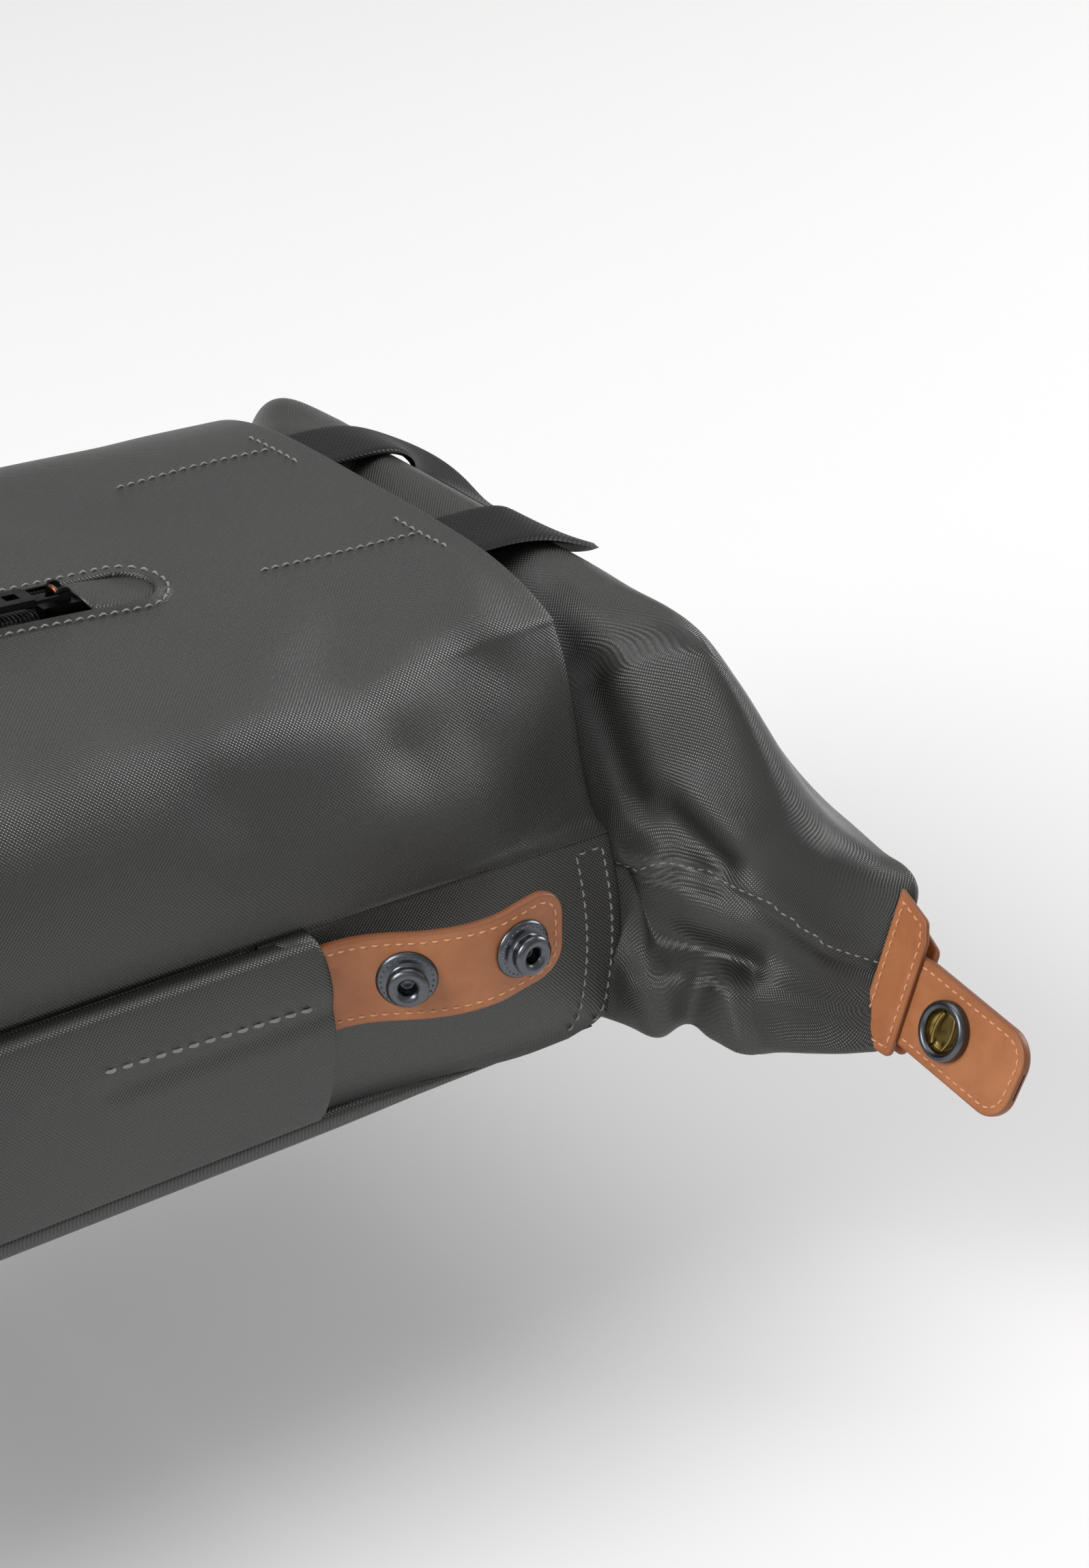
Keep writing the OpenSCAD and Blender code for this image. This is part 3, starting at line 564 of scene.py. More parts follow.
canvas_thread = thread_material("grey_thread", "#7c7c78")
for word, sign in (("right", 1), ("left", -1)):
    stitches("collar_seam_stitches_" + word, *collar_seams[sign], canvas_thread, 2.6, 1.9, 0.26,
             ("bag", "collar", (0.158, 0, 0.059), (0.196, 0, 0.059)))
side_x = np.linspace(X_EDGE, X_BOTTOM + CORNER_R, 130)
side_t = np.linspace(0, 1, 34)
wall = side_surface(side_x, side_t)
inside = wall[0] + np.array([0, 2.2, 0])
hem = np.array([inside - (18, 0, 0), inside - (10, 0, 0), inside - (2, 0, 0),
                wall[0] + (0.6, 1.9, 0), wall[0] + (1.0, 1.1, 0), wall[0] + (0.7, 0.3, 0)])
side_rows = np.concatenate([hem, wall])[:, ::-1]
wall_out = np.array([0, -1.0, 0])
for word, sign in (("right", 1), ("left", -1)):
    side = sheet_piece("side_panel_" + word, side_rows, canvas, side=sign)
    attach(side, "bag")
    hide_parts("side_gusset_" + word, "gusset_facing_" + word)
    for row, back in (("outer", 2.6), ("inner", 11.0)):
        line = side_surface(np.array([X_EDGE]), np.linspace(0.04, 0.93, 60))[0] - (back, 0.05, 0)
        stitches(f"hem_stitches_{row}_{word}", line, np.broadcast_to(wall_out, line.shape), canvas_thread,
                 3.3, 2.5, 0.34, "bag", sign)
    top = side_surface(np.array([X_EDGE]), np.array([0.93]))[0, 0]
    line = top - np.array([[11.0, 0.05, 0], [7.0, 0.05, 0], [2.6, 0.05, 0]])
    stitches("hem_stitches_top_" + word, line, np.broadcast_to(wall_out, line.shape), canvas_thread,
             3.0, 2.4, 0.34, "bag", sign)

# ---- Bottom and back ----------------------------------------------------------------------------
# The bottom band runs round both corners. The back is a padded panel with a rolled edge, sewn to the
# sides 8 mm up; inside hangs a plain lining.


def plan_outline(step=3.0):
    """The bag's outline in plan and its outward normals, from the mouth's right end round the bottom to
    its left end."""
    r = CORNER_R
    arc = np.linspace(0, math.pi / 2, 16)
    runs = [
        (np.linspace(X_EDGE, X_BOTTOM + r, 102), lambda t: (t, 0 * t - HALF_W, 0 * t, 0 * t - 1)),
        (arc[1:], lambda t: (X_BOTTOM + r - r * np.sin(t), -HALF_W + r - r * np.cos(t),
                             -np.sin(t), -np.cos(t))),
        (np.linspace(-HALF_W + r, HALF_W - r, 54)[1:], lambda t: (0 * t + X_BOTTOM, t, 0 * t - 1, 0 * t)),
        (arc[1:], lambda t: (X_BOTTOM + r - r * np.cos(t), HALF_W - r + r * np.sin(t),
                             -np.cos(t), np.sin(t))),
        (np.linspace(X_BOTTOM + r, X_EDGE, 102)[1:], lambda t: (t, 0 * t + HALF_W, 0 * t, 0 * t + 1)),
    ]
    made = np.concatenate([np.stack(f(t), -1) for t, f in runs])
    return made[:, :2], made[:, 2:]


plan, plan_out = plan_outline()
corner = (plan[:, 0] < X_BOTTOM + CORNER_R + 1)
band, band_out = plan[corner], plan_out[corner]
band_t = np.linspace(0, 1, 28)
band_z = BACK_SEAM + (seam_height(band[:, 0])[:, None] - BACK_SEAM) * band_t[None]
band_bow = (1.0 * np.sin(np.pi * band_t)[None] - 0.5) * np.ones(len(band))[:, None]
bottom_points = np.stack([band[:, 0, None] + band_out[:, 0, None] * band_bow,
                          band[:, 1, None] + band_out[:, 1, None] * band_bow, band_z], -1)
bottom = sheet_piece("bottom_panel_canvas", bottom_points[:, ::-1], canvas)
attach(bottom, "bag")
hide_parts("bottom_gusset")

mouth_run = np.linspace(HALF_W - 5, -HALF_W + 5, 60)
closing = np.stack([X_EDGE + 0 * mouth_run, mouth_run, 1 + 0 * mouth_run, 0 * mouth_run], -1)
back_line = np.concatenate([np.concatenate([plan, plan_out], 1)[1:-1], closing])
back_profile = [(14, 6.6), (4, 7.2), (0.9, 8.0), (-0.5, 7.6), (-1.3, 6.2), (-1.5, 4.6), (-1.1, 2.9),
                (0.3, 1.3), (2.6, 0.35), (7, 0.05), (30, 0.02)]
roll = back_seam(back_line[:, 0]) / BACK_SEAM          # the rolled edge thins out beside the mouth
tuck = 3.5 * (1 - roll)
back_rows = [np.column_stack([back_line[:, :2] - (d + tuck)[:, None] * back_line[:, 2:],
                              z * roll + (0.3 + 2.5 * (i < 3)) * (1 - roll)])
             for i, (d, z) in enumerate(back_profile)]
back_rows = ([back_rows[0] * (0.02, 0.02, 1), back_rows[0] * (0.5, 0.5, 1)] + back_rows
             + [back_rows[-1] * (0.5, 0.5, 1), back_rows[-1] * (0.02, 0.02, 1)])
back_points = closed(np.array(back_rows))
back_uv = back_points[..., :2] * MM
back = sheet_piece("back_panel_canvas", back_points[:, ::-1], canvas, thick=0, uv=back_uv[:, ::-1])
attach(back, "bag")
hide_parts("back_panel")

# Polyester lining, plain woven and thin: smooth grey with a weave that barely shows.
lining_cloth, shader = cloth_material("polyester_lining", "#55565a", "#606166", weave=0.6 * MM, depth=0.03)
lining_x = np.linspace(X_EDGE - 34, X_BOTTOM + 14, 60)
lining_y, lining_z = section(60)
top_arc = front_surface(lining_x, lining_y, lining_z) * (1, 0.965, 1)
top_arc = top_arc - np.array([0, 0, 9.5]) * lining_z[:, None]
floor_y = np.linspace(1, -1, 24)[:, None]
flat = np.stack([np.broadcast_to(lining_x[:, None], (60, 24)),
                 (plan_half(lining_x)[:, None] - 4) * floor_y[:, 0], np.full((60, 24), 10.0)], -1)
lining_points = np.concatenate([top_arc, flat, top_arc[:, :1]], axis=1)
cap = lining_points[-1:] * (1, 0.02, 0.02) + np.array([-6, 0, 50.0])
lining = sheet_piece("lining_cloth", np.concatenate([lining_points, cap]), lining_cloth, thick=0.5)
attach(lining, "bag")
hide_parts("lining", "zip_pocket_lining")

# ---- Side sleeves -------------------------------------------------------------------------------
# A second layer of canvas over the rear of each side panel, open toward the mouth so that the strap can
# slide under it, and quilted through by one row of heavy stitches.

SLEEVE_X = X_EDGE - 92.0


def sleeve_surface(t, z_share):
    """Right sleeve at shares t of its length, from the bottom end to its curved free edge, and shares
    of its height; it stands 4.6 mm clear near the free edge and is drawn down along both seams."""
    edge = SLEEVE_X - 8 * (np.abs(8 + 55 * z_share[None] - 36) / 60 * 1.7) ** 3
    x = X_BOTTOM + CORNER_R + 2 + (edge - X_BOTTOM - CORNER_R - 2) * t[:, None]
    z = BACK_SEAM + 0.2 + (seam_height(x) - BACK_SEAM - 0.5) * z_share[None]
    lift = 6.4 * np.sin(np.pi * z_share)[None] ** 0.2 * np.minimum(1, 2.2 * t[:, None] ** 0.8 + 0.05)
    sag = 0.9 * np.exp(-(((z_share - 0.62) / 0.06) ** 2))[None] * smooth(x / 14)
    return np.stack([x, -(HALF_W + 0.9 + lift - sag), z], -1)


sleeve_t = np.concatenate([np.linspace(1, 0.9, 16)[:-1], np.linspace(0.9, 0, 70)])
sleeve_z = np.linspace(0, 1, 44)
sleeve = sleeve_surface(sleeve_t, sleeve_z)
sleeve_hem = np.array([sleeve[0] + (-14, 2.0, 0), sleeve[0] + (-4, 2.0, 0), sleeve[0] + (0.2, 1.8, 0),
                       sleeve[0] + (0.8, 1.0, 0), sleeve[0] + (0.6, 0.3, 0)])
sleeve_rows = np.concatenate([sleeve_hem, sleeve])[:, ::-1]
for word, sign in (("right", 1), ("left", -1)):
    pocket = sheet_piece("side_sleeve_canvas_" + word, sleeve_rows, canvas, thick=0.9, side=sign)
    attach(pocket, "bag")
    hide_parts("side_sleeve_" + word)
    share = (44 - BACK_SEAM) / (seam_height(0) - BACK_SEAM)
    line = sleeve_surface(np.linspace(0.68, 0.975, 40), np.array([share + 0.05]))[:, 0]
    line[:, 2] = np.linspace(48.5, 44.5, 40)
    stitches("sleeve_stitches_" + word, line, np.broadcast_to(wall_out, line.shape), canvas_thread,
             4.5, 3.7, 0.55, "bag", sign)

# ---- Front pocket's zip -------------------------------------------------------------------------
# A nylon coil zip under an oval window with turned-in edges, stitched round. Its slider parks against a
# small fabric cap at the mouth end, and carries a flat black puller on a copper bail.


def round_window(offset, count=260):
    """Plan places along the window's outline moved out by offset: two straight runs and two half rounds."""
    r = ZIP_HALF + offset
    length = 4 * zip_straight + 2 * math.pi * r
    s = np.linspace(0, length, count, endpoint=False)
    turn1 = 2 * zip_straight + math.pi * r
    a = np.where(s < turn1, (s - 2 * zip_straight) / r, (s - turn1 - 2 * zip_straight) / r + math.pi)
    a = np.where(s < 2 * zip_straight, 0, np.where((s >= turn1) & (s < turn1 + 2 * zip_straight), math.pi, a))
    x = np.where(s < 2 * zip_straight, -zip_straight + s,
                 np.where(s < turn1, zip_straight,
                          np.where(s < turn1 + 2 * zip_straight, zip_straight - (s - turn1), -zip_straight)))
    return zip_mid + x + r * np.sin(a), ZIP_Y - r * np.cos(a)


welt_profile = [(4.2, 0.02), (2.6, 0.24), (1.2, 0.45), (0.2, 0.5), (-0.5, 0.2), (-0.8, -0.5), (-0.6, -1.6)]
welt_rows = []
for offset, height in welt_profile:
    at, out = on_front(*round_window(offset))
    welt_rows.append(at + out * height)
welt_points = closed(np.array(welt_rows))
welt = sheet_piece("zip_window_edge", welt_points[:, ::-1], canvas, thick=0)
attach(welt, "bag")
line, out = on_front(*round_window(3.0))
line = np.concatenate([line + out * 0.25, line[:1] + out[:1] * 0.25])
stitches("zip_window_stitches", line, np.concatenate([out, out[:1]]), canvas_thread, 3.4, 2.6, 0.36, "bag")

# Polyester tape, tightly woven, black and dull, with a moulded nylon coil: smooth, black, half glossy.
tape_cloth, shader = cloth_material("zip_tape", "#232322", "#2b2b2a", weave=0.7 * MM, depth=0.05)
coil_nylon, tree, shader = new_material("zip_coil_nylon")
shader.inputs["Base Color"].default_value = linear("#1d1d1d")
shader.inputs["Roughness"].default_value = 0.33
tape_x = np.linspace(ZIP_X1 + 4, ZIP_X0 - 4, 60)
tape_y = np.linspace(-12, 12, 13)
tape_at, tape_out = on_front(np.repeat(tape_x, 13), np.tile(tape_y + ZIP_Y, 60))
tape_points = (tape_at - tape_out * 2.6).reshape(60, 13, 3)[:, ::-1]
tape = sheet_piece("zip_tape_cloth", tape_points, tape_cloth, thick=0.6)
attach(tape, "bag")
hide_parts("zip_tape")
COIL_TURNS = 130
coil_at, coil_out = on_front(np.linspace(ZIP_X1 - 4, ZIP_X0 + 3, COIL_TURNS), np.full(COIL_TURNS, ZIP_Y))
turn, a = np.linspace(0, math.pi, 9), np.arange(6) * math.pi / 3
arch = np.stack([0.35 * np.cos(turn), -2.4 * np.cos(turn), 1.0 * np.sin(turn)], -1)
wire = (coil_at - coil_out * 2.5)[:, None] + arch[None]
coil_points = wire[:, :, None] + 0.42 * np.stack([np.cos(a), 0 * a, np.sin(a)], -1)
coil_quads = np.concatenate([grid_faces(9, 6, wrap=True) + 54 * k for k in range(COIL_TURNS)])
coil = make_mesh("zip_coil", coil_points, coil_quads, coil_nylon)
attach(coil, "bag")
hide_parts("zip_teeth")

cap_u = np.linspace(0, 1, 26)
cap_v = np.linspace(-1, 1, 25)
cap_x = ZIP_X1 - 21.5 + 23 * cap_u[:, None] - 2.5 * (1 - cap_v[None] ** 2) * (1 - cap_u[:, None])
cap_y = ZIP_Y + 8.6 * cap_v[None] + 0 * cap_x
at, out = on_front(cap_x.ravel(), cap_y.ravel())
cap_h = -1.9 + (1 - cap_v[None] ** 2) ** 0.5 * (3.9 - 2.6 * smooth(cap_u)[:, None])
cap_points = (at + out * cap_h.reshape(-1, 1)).reshape(26, 25, 3)
garage = sheet_piece("zip_garage_canvas", cap_points, canvas, thick=0.9)
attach(garage, "bag")
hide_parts("zip_garage")


def metal_material(name, colour, rough, grain=260.0):
    """A metal with fine brushed wear: roughness from noise, a shallow bump."""
    m, tree, shader = new_material(name)
    shader.inputs["Metallic"].default_value = 1
    shader.inputs["Base Color"].default_value = linear(colour)
    place = add(tree, "ShaderNodeTexCoord")
    wear = add(tree, "ShaderNodeTexNoise", {"Vector": place.outputs["Object"], "Scale": grain, "Detail": 4.0})
    level = add(tree, "ShaderNodeMapRange", {"Value": wear.outputs[0], "From Min": 0.3, "From Max": 0.7,
                                            "To Min": rough * 0.75, "To Max": rough * 1.35})
    tree.links.new(level.outputs[0], shader.inputs["Roughness"])
    bump = add(tree, "ShaderNodeBump", {"Height": wear.outputs[0], "Strength": 0.15, "Distance": 0.05 * MM})
    tree.links.new(bump.outputs[0], shader.inputs["Normal"])
    return m


gunmetal = metal_material("gunmetal_plate", "#5d6065", 0.28)            # steel plated dark grey, polished
black_metal = metal_material("black_enamelled_zinc", "#2a2b2c", 0.38)   # cast zinc, baked black, satin
brass = metal_material("lacquered_brass", "#94804c", 0.3)               # drawn spring wire, yellow
copper = metal_material("aged_copper", "#8a5a42", 0.34)                 # bent wire, browned


def dress(node, material, round_off=0.0):
    """Gives a CAD node kept in view its material, and rounds its edges."""
    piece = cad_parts[node]
    piece.data.materials.clear()
    piece.data.materials.append(material)
    if round_off:
        edge = piece.modifiers.new("edges", "BEVEL")
        edge.width = round_off * MM
        edge.segments = 3
        edge.limit_method = "ANGLE"
    return piece


dress("zip_slider", black_metal, 0.35)
dress("zip_puller", black_metal, 0.3)
dress("zip_end_stop", black_metal, 0.3)
dress("mouth_stiffener", tape_cloth)


def tube(name, path, radius, material, body, side=1):
    """A round wire along a path: twelve points of a circle across each of its steps."""
    along = unit(np.gradient(path, axis=0))
    first = unit(np.cross(along, np.array([0.13, 0.21, 0.97])))
    second = np.cross(along, first)
    a = np.linspace(0, 2 * math.pi, 12, endpoint=False)
    rings = path[:, None] + radius * (first[:, None] * np.cos(a)[None, :, None]
                                      + second[:, None] * np.sin(a)[None, :, None])
    piece = make_mesh(name, rings, grid_faces(len(path), 12, wrap=True)[:, ::-1], material, side=side)
    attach(piece, body)
    return piece


pivot = np.array([50.27, ZIP_Y, 132.54])
turn = np.linspace(-0.15, math.pi + 0.15, 24)
bail_path = pivot + np.stack([-1.2 - 0.44 * np.sin(turn), 1.9 * np.cos(turn), 1.5 * np.sin(turn) - 0.2], -1)
bail = tube("zip_bail", bail_path, 0.65, copper, "slider")

# ---- Handle -------------------------------------------------------------------------------------
# Nylon webbing, 25 mm wide and 2 mm thick, with a ribbed weave. Both ends are sewn under the front
# panel by a T of stitches; the loop comes out below the free edge and lies over the collar.

WEB_Y, WEB_HALF, WEB_T = 35.0, 12.5, 2.0
# Nylon webbing, woven black: dull, with ribs that stand 1.5 mm apart.
webbing_cloth, shader = cloth_material("nylon_webbing", "#141414", "#1c1b1b", weave=1.5 * MM, gloss=0.34,
                                       dull=0.6, depth=0.16)
shader.inputs["Specular IOR Level"].default_value = 0.2
loop_a = np.radians(np.linspace(-90, 90, 90))
loop_s = np.cos(loop_a) ** 0.55
loop_y = WEB_Y * np.sign(loop_a) * np.abs(np.sin(loop_a)) ** 0.45 * (1 + 0.2 * np.cos(loop_a) ** 1.5)
loop = np.stack([167.5 + 41 * loop_s, loop_y, 118.2 + 4 * loop_s - 22 * loop_s ** 3], -1)
LEAN = math.radians(35)
leg_x = np.linspace(105, 166, 34)
leg_z = on_front(leg_x, np.full(34, -WEB_Y))[0][:, 2] - 3.6
leg = np.stack([leg_x, np.full(34, -WEB_Y), leg_z], -1)
middle = np.concatenate([leg, loop[1:-1], leg[::-1] * (1, -1, 1)])
for _ in range(40):     # eases the joints between legs and loop, and the turn at the apex
    middle[1:-1] = (middle[:-2] + 2 * middle[1:-1] + middle[2:]) / 4
web_along = unit(np.gradient(middle, axis=0))
lean = LEAN * smooth((middle[:, 0] - 172) / 28) * smooth((40 - np.abs(middle[:, 1])) / 24)
level_in = unit(np.stack([-web_along[:, 1], web_along[:, 0], 0 * lean], -1))
inward = level_in * np.cos(lean)[:, None] + np.array([0, 0, 1.0]) * np.sin(lean)[:, None]
web_up = unit(np.cross(web_along, inward))
profile_v = np.linspace(-1, 1, 17)
edge_round = (1 - np.abs(profile_v) ** 12) ** 0.5
round_v = np.concatenate([profile_v, profile_v[::-1]]) * WEB_HALF
round_t = np.concatenate([edge_round, -edge_round[::-1]]) * WEB_T / 2
web_points = closed(middle[:, None] + inward[:, None] * round_v[None, :, None]
                    + web_up[:, None] * round_t[None, :, None])
web_uv = closed(np.stack(np.broadcast_arrays(run_lengths(middle, 0)[:, None], round_v[None]), -1)) * MM
handle = sheet_piece("handle_webbing_strap", web_points[:, ::-1], webbing_cloth, thick=0, uv=web_uv[:, ::-1])
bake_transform(handle)
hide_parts("webbing_anchor_right", "webbing_anchor_left", "handle_webbing")
for word, y in (("right", -WEB_Y), ("left", WEB_Y)):
    line, out = on_front(np.linspace(105, 155, 40), np.full(40, y))
    stitches("handle_stem_stitches_" + word, line + out * 0.2, out, canvas_thread, 3.3, 2.5, 0.33, "bag")
    line, out = on_front(np.full(20, 156.0), np.linspace(y - WEB_HALF, y + WEB_HALF, 20))
    stitches("handle_bar_stitches_" + word, line + out * 0.2, out, canvas_thread, 3.3, 2.5, 0.33, "bag")

# ---- Leather straps -----------------------------------------------------------------------------
# Vegetable-tanned cowhide, two layers sewn round the edge with tan thread. One strap on each side lies
# under the sleeve, stands out at its tip, and holds two ring studs.


def leather_material(name, dark, pale):
    """Tan leather: cloudy dye, fine grain of 0.6 mm cells and pores, and dark burnished cut edges."""
    m, tree, shader = new_material(name)
    place = add(tree, "ShaderNodeTexCoord")
    cloud = add(tree, "ShaderNodeTexNoise", {"Vector": place.outputs["Object"], "Scale": 45.0, "Detail": 6.0,
                                            "Roughness": 0.65})
    share = add(tree, "ShaderNodeMapRange", {"Value": cloud.outputs[0], "From Min": 0.35, "From Max": 0.68})
    tone = add(tree, "ShaderNodeMix", {0: share.outputs[0], 6: linear(dark), 7: linear(pale)},
               data_type="RGBA")
    rim = add(tree, "ShaderNodeAttribute", attribute_name="rim")
    edged = add(tree, "ShaderNodeMix", {0: rim.outputs["Fac"], 6: tone.outputs[2], 7: linear("#7a4626")},
                data_type="RGBA")
    tree.links.new(edged.outputs[2], shader.inputs["Base Color"])
    grain = add(tree, "ShaderNodeTexVoronoi", {"Vector": place.outputs["Object"], "Scale": 1500.0},
                feature="DISTANCE_TO_EDGE")
    pores = add(tree, "ShaderNodeTexNoise", {"Vector": place.outputs["Object"], "Scale": 700.0,
                                            "Detail": 3.0})
    relief = add(tree, "ShaderNodeMath", {0: grain.outputs[0], 1: 0.5, 2: pores.outputs[0]},
                 operation="MULTIPLY_ADD")
    bump = add(tree, "ShaderNodeBump", {"Height": relief.outputs[0], "Strength": 0.35, "Distance": 0.12 * MM})
    tree.links.new(bump.outputs[0], shader.inputs["Normal"])
    rough = add(tree, "ShaderNodeMapRange", {"Value": pores.outputs[0], "To Min": 0.38, "To Max": 0.58})
    tree.links.new(rough.outputs[0], shader.inputs["Roughness"])
    return m


tan_leather = leather_material("vegetable_tanned_leather", "#935832", "#a86c43")
leather_thread = thread_material("tan_thread", "#cb9168")


def hull(points):
    """Convex outline of points, anticlockwise from the one with the least x."""
    points = sorted(set(map(tuple, np.round(points, 4))))
    sides = []
    for run in (points, points[::-1]):
        line = []
        for p in run:
            while len(line) > 1 and ((line[-1][0] - line[-2][0]) * (p[1] - line[-2][1])
                                     - (line[-1][1] - line[-2][1]) * (p[0] - line[-2][0])) <= 0:
                line.pop()
            line.append(p)
        sides.append(line[:-1])
    return np.array(sides[0] + sides[1])


def rounded(*circles):
    """Outline round a set of circles, each (x, y, radius)."""
    a = np.linspace(0, 2 * math.pi, 48, endpoint=False)
    return hull(np.concatenate([(x, y) + r * np.stack([np.cos(a), np.sin(a)], -1) for x, y, r in circles]))


def edge_distance(points, outline):
    """Distance of each point from the nearest side of a closed outline."""
    nearest = np.full(points.shape[:-1], 1e9)
    for p, q in zip(outline, np.roll(outline, -1, axis=0)):
        t = np.clip(((points - p) @ (q - p)) / max(((q - p) ** 2).sum(), 1e-9), 0, 1)
        nearest = np.minimum(nearest, np.linalg.norm(points - (p + t[..., None] * (q - p)), axis=-1))
    return nearest


def leather_piece(name, outline, place, thick, side=1, seam=2.4, count=(90, 34)):
    """A leather piece: its outline is filled by a grid, and its half thickness falls to nothing at the
    rim as (1 - (1 - d/0.7)^3)^(1/3); the stitching's groove runs at distance seam from the rim."""
    a0, a1 = outline[:, 0].min() + 1e-3, outline[:, 0].max() - 1e-3
    a = a0 + (a1 - a0) * (1 - np.cos(np.linspace(0, math.pi, count[0]))) / 2
    last = int(np.lexsort((outline[:, 1], outline[:, 0]))[-1])
    lower, upper = outline[:last + 1], np.concatenate([outline[last:], outline[:1]])[::-1]
    low, high = np.interp(a, *lower.T), np.interp(a, *upper.T)
    v = np.sin(np.linspace(-1, 1, count[1]) * math.pi / 2)
    b = (low + high)[:, None] / 2 + (high - low)[:, None] / 2 * v[None]
    flat = np.stack([np.broadcast_to(a[:, None], b.shape), b], -1)
    d = edge_distance(flat, outline)
    half = thick / 2 * (1 - (1 - np.minimum(d / 0.7, 1)) ** 3) ** (1 / 3)
    half = half - 0.16 * np.exp(-(((d - seam) / 0.5) ** 2))
    n, m = b.shape
    verts = np.concatenate([place(flat[..., 0], b, face).reshape(-1, 3) for face in (half, -half)])
    faces = np.concatenate([grid_faces(n, m), grid_faces(n, m)[:, ::-1] + n * m])
    piece = make_mesh(name, verts, faces, tan_leather, side=side)
    rim = piece.data.attributes.new("rim", "FLOAT", "POINT")
    rim.data.foreach_set("value", np.tile(np.exp(-(d / 0.55) ** 2).ravel(), 2).astype(np.float32))
    return piece


def inset(outline, distance):
    """The outline moved inward by distance, resampled and closed."""
    ring = np.concatenate([outline, outline[:1]])
    run = np.insert(np.cumsum(np.linalg.norm(np.diff(ring, axis=0), axis=1)), 0, 0)
    at = np.linspace(0, run[-1], 1200, endpoint=False)
    p = np.stack([np.interp(at, run, ring[:, c]) for c in (0, 1)], -1)
    ahead = unit(np.roll(p, -1, axis=0) - np.roll(p, 1, axis=0))
    moved = p + distance * np.stack([-ahead[:, 1], ahead[:, 0]], -1)
    moved = moved[edge_distance(moved, outline) > distance - 0.05]
    return np.concatenate([moved, moved[:1]])


def path_on(place, line, height):
    """A plan line set on a leather piece's outer face, with that face's normals."""
    at = place(line[:, 0], line[:, 1], np.full(len(line), height))
    below = place(line[:, 0], line[:, 1], np.full(len(line), height - 1.0))
    return at, unit(at - below)


STRAP_X, STRAP_Y, STRAP_Z = 75.6, HALF_W + 4.5, 47.0
STRAP_L, STRAP_OUT = 57.0, 18.0


def strap_line(x):
    """Distance of the strap's middle from the bag's mid plane at x."""
    return STRAP_Y + STRAP_OUT * smooth((x - STRAP_X) / (STRAP_L * 0.72))


def strap_rise(x):
    """How much higher the strap runs toward its tip."""
    return 6 * smooth((x - STRAP_X - 17) / (STRAP_L - 17))


def on_strap(a, b, h):
    """The strap's place along, across and out; its root is cut narrower, skived and pressed to the side."""
    root = 1 - smooth((a - 48) / 14)
    low = 1 - smooth((a - 64) / 16)
    turn = np.arctan(strap_line(a + 0.5) - strap_line(a - 0.5))
    y = 1.2 * low + 1.1 * root - strap_line(a) - h * np.cos(turn) * (1 - 0.4 * root) + 0 * b
    return np.stack([a - h * np.sin(turn), y, STRAP_Z + strap_rise(a) + b * (1 - 0.3 * root)], -1)


def lathe(name, profile, centre, x_axis, z_axis, material, body, side=1, count=64):
    """A turned part: the profile's (radius, height) pairs swept round z_axis at centre."""
    x_axis, z_axis = unit(np.array(x_axis, float)), unit(np.array(z_axis, float))
    y_axis = np.cross(z_axis, x_axis)
    fine = through(np.array(profile, float), 4 * len(profile))
    a = np.linspace(0, 2 * math.pi, count, endpoint=False)
    circle = np.cos(a)[:, None] * x_axis + np.sin(a)[:, None] * y_axis
    rings = np.array(centre) + fine[:, None, :1] * circle + fine[:, None, 1:] * z_axis
    piece = make_mesh(name, rings, grid_faces(len(fine), count, wrap=True), material, side=side)
    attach(piece, body)
    return piece


tip = STRAP_X + STRAP_L - 8
strap_outline = rounded((15, -12.4, 0.1), (15, 12.4, 0.1), (tip, -4.5, 8), (tip, 4.5, 8))
stud_profile = [
    (0.02, 1.9), (1.7, 1.9), (1.95, 2.5), (2.0, 4.0), (2.3, 5.0), (3.0, 5.7), (3.9, 6.0), (4.8, 5.75),
    (5.4, 5.1), (5.5, 4.3), (5.0, 3.4), (4.7, 2.6), (4.8, 2.0), (5.5, 1.55), (6.6, 1.4), (7.4, 1.15),
    (7.9, 0.6), (8.0, 0.1), (7.8, 0.0)]
back_stud = [(6.8, 0.1), (6.7, -0.3), (6.0, -0.8), (4.0, -1.0), (0.02, -1.0)]
BEADS = 26       # small domes round the stud's flange
bead_turn = np.arange(BEADS)[:, None] * 2 * math.pi / BEADS
bead_arc = np.linspace(0, math.pi / 2, 4)[:, None, None]
bead_round = np.arange(8)[:, None] * math.pi / 4
bead_quads = np.concatenate([grid_faces(4, 8, wrap=True) + 32 * k for k in range(BEADS)])
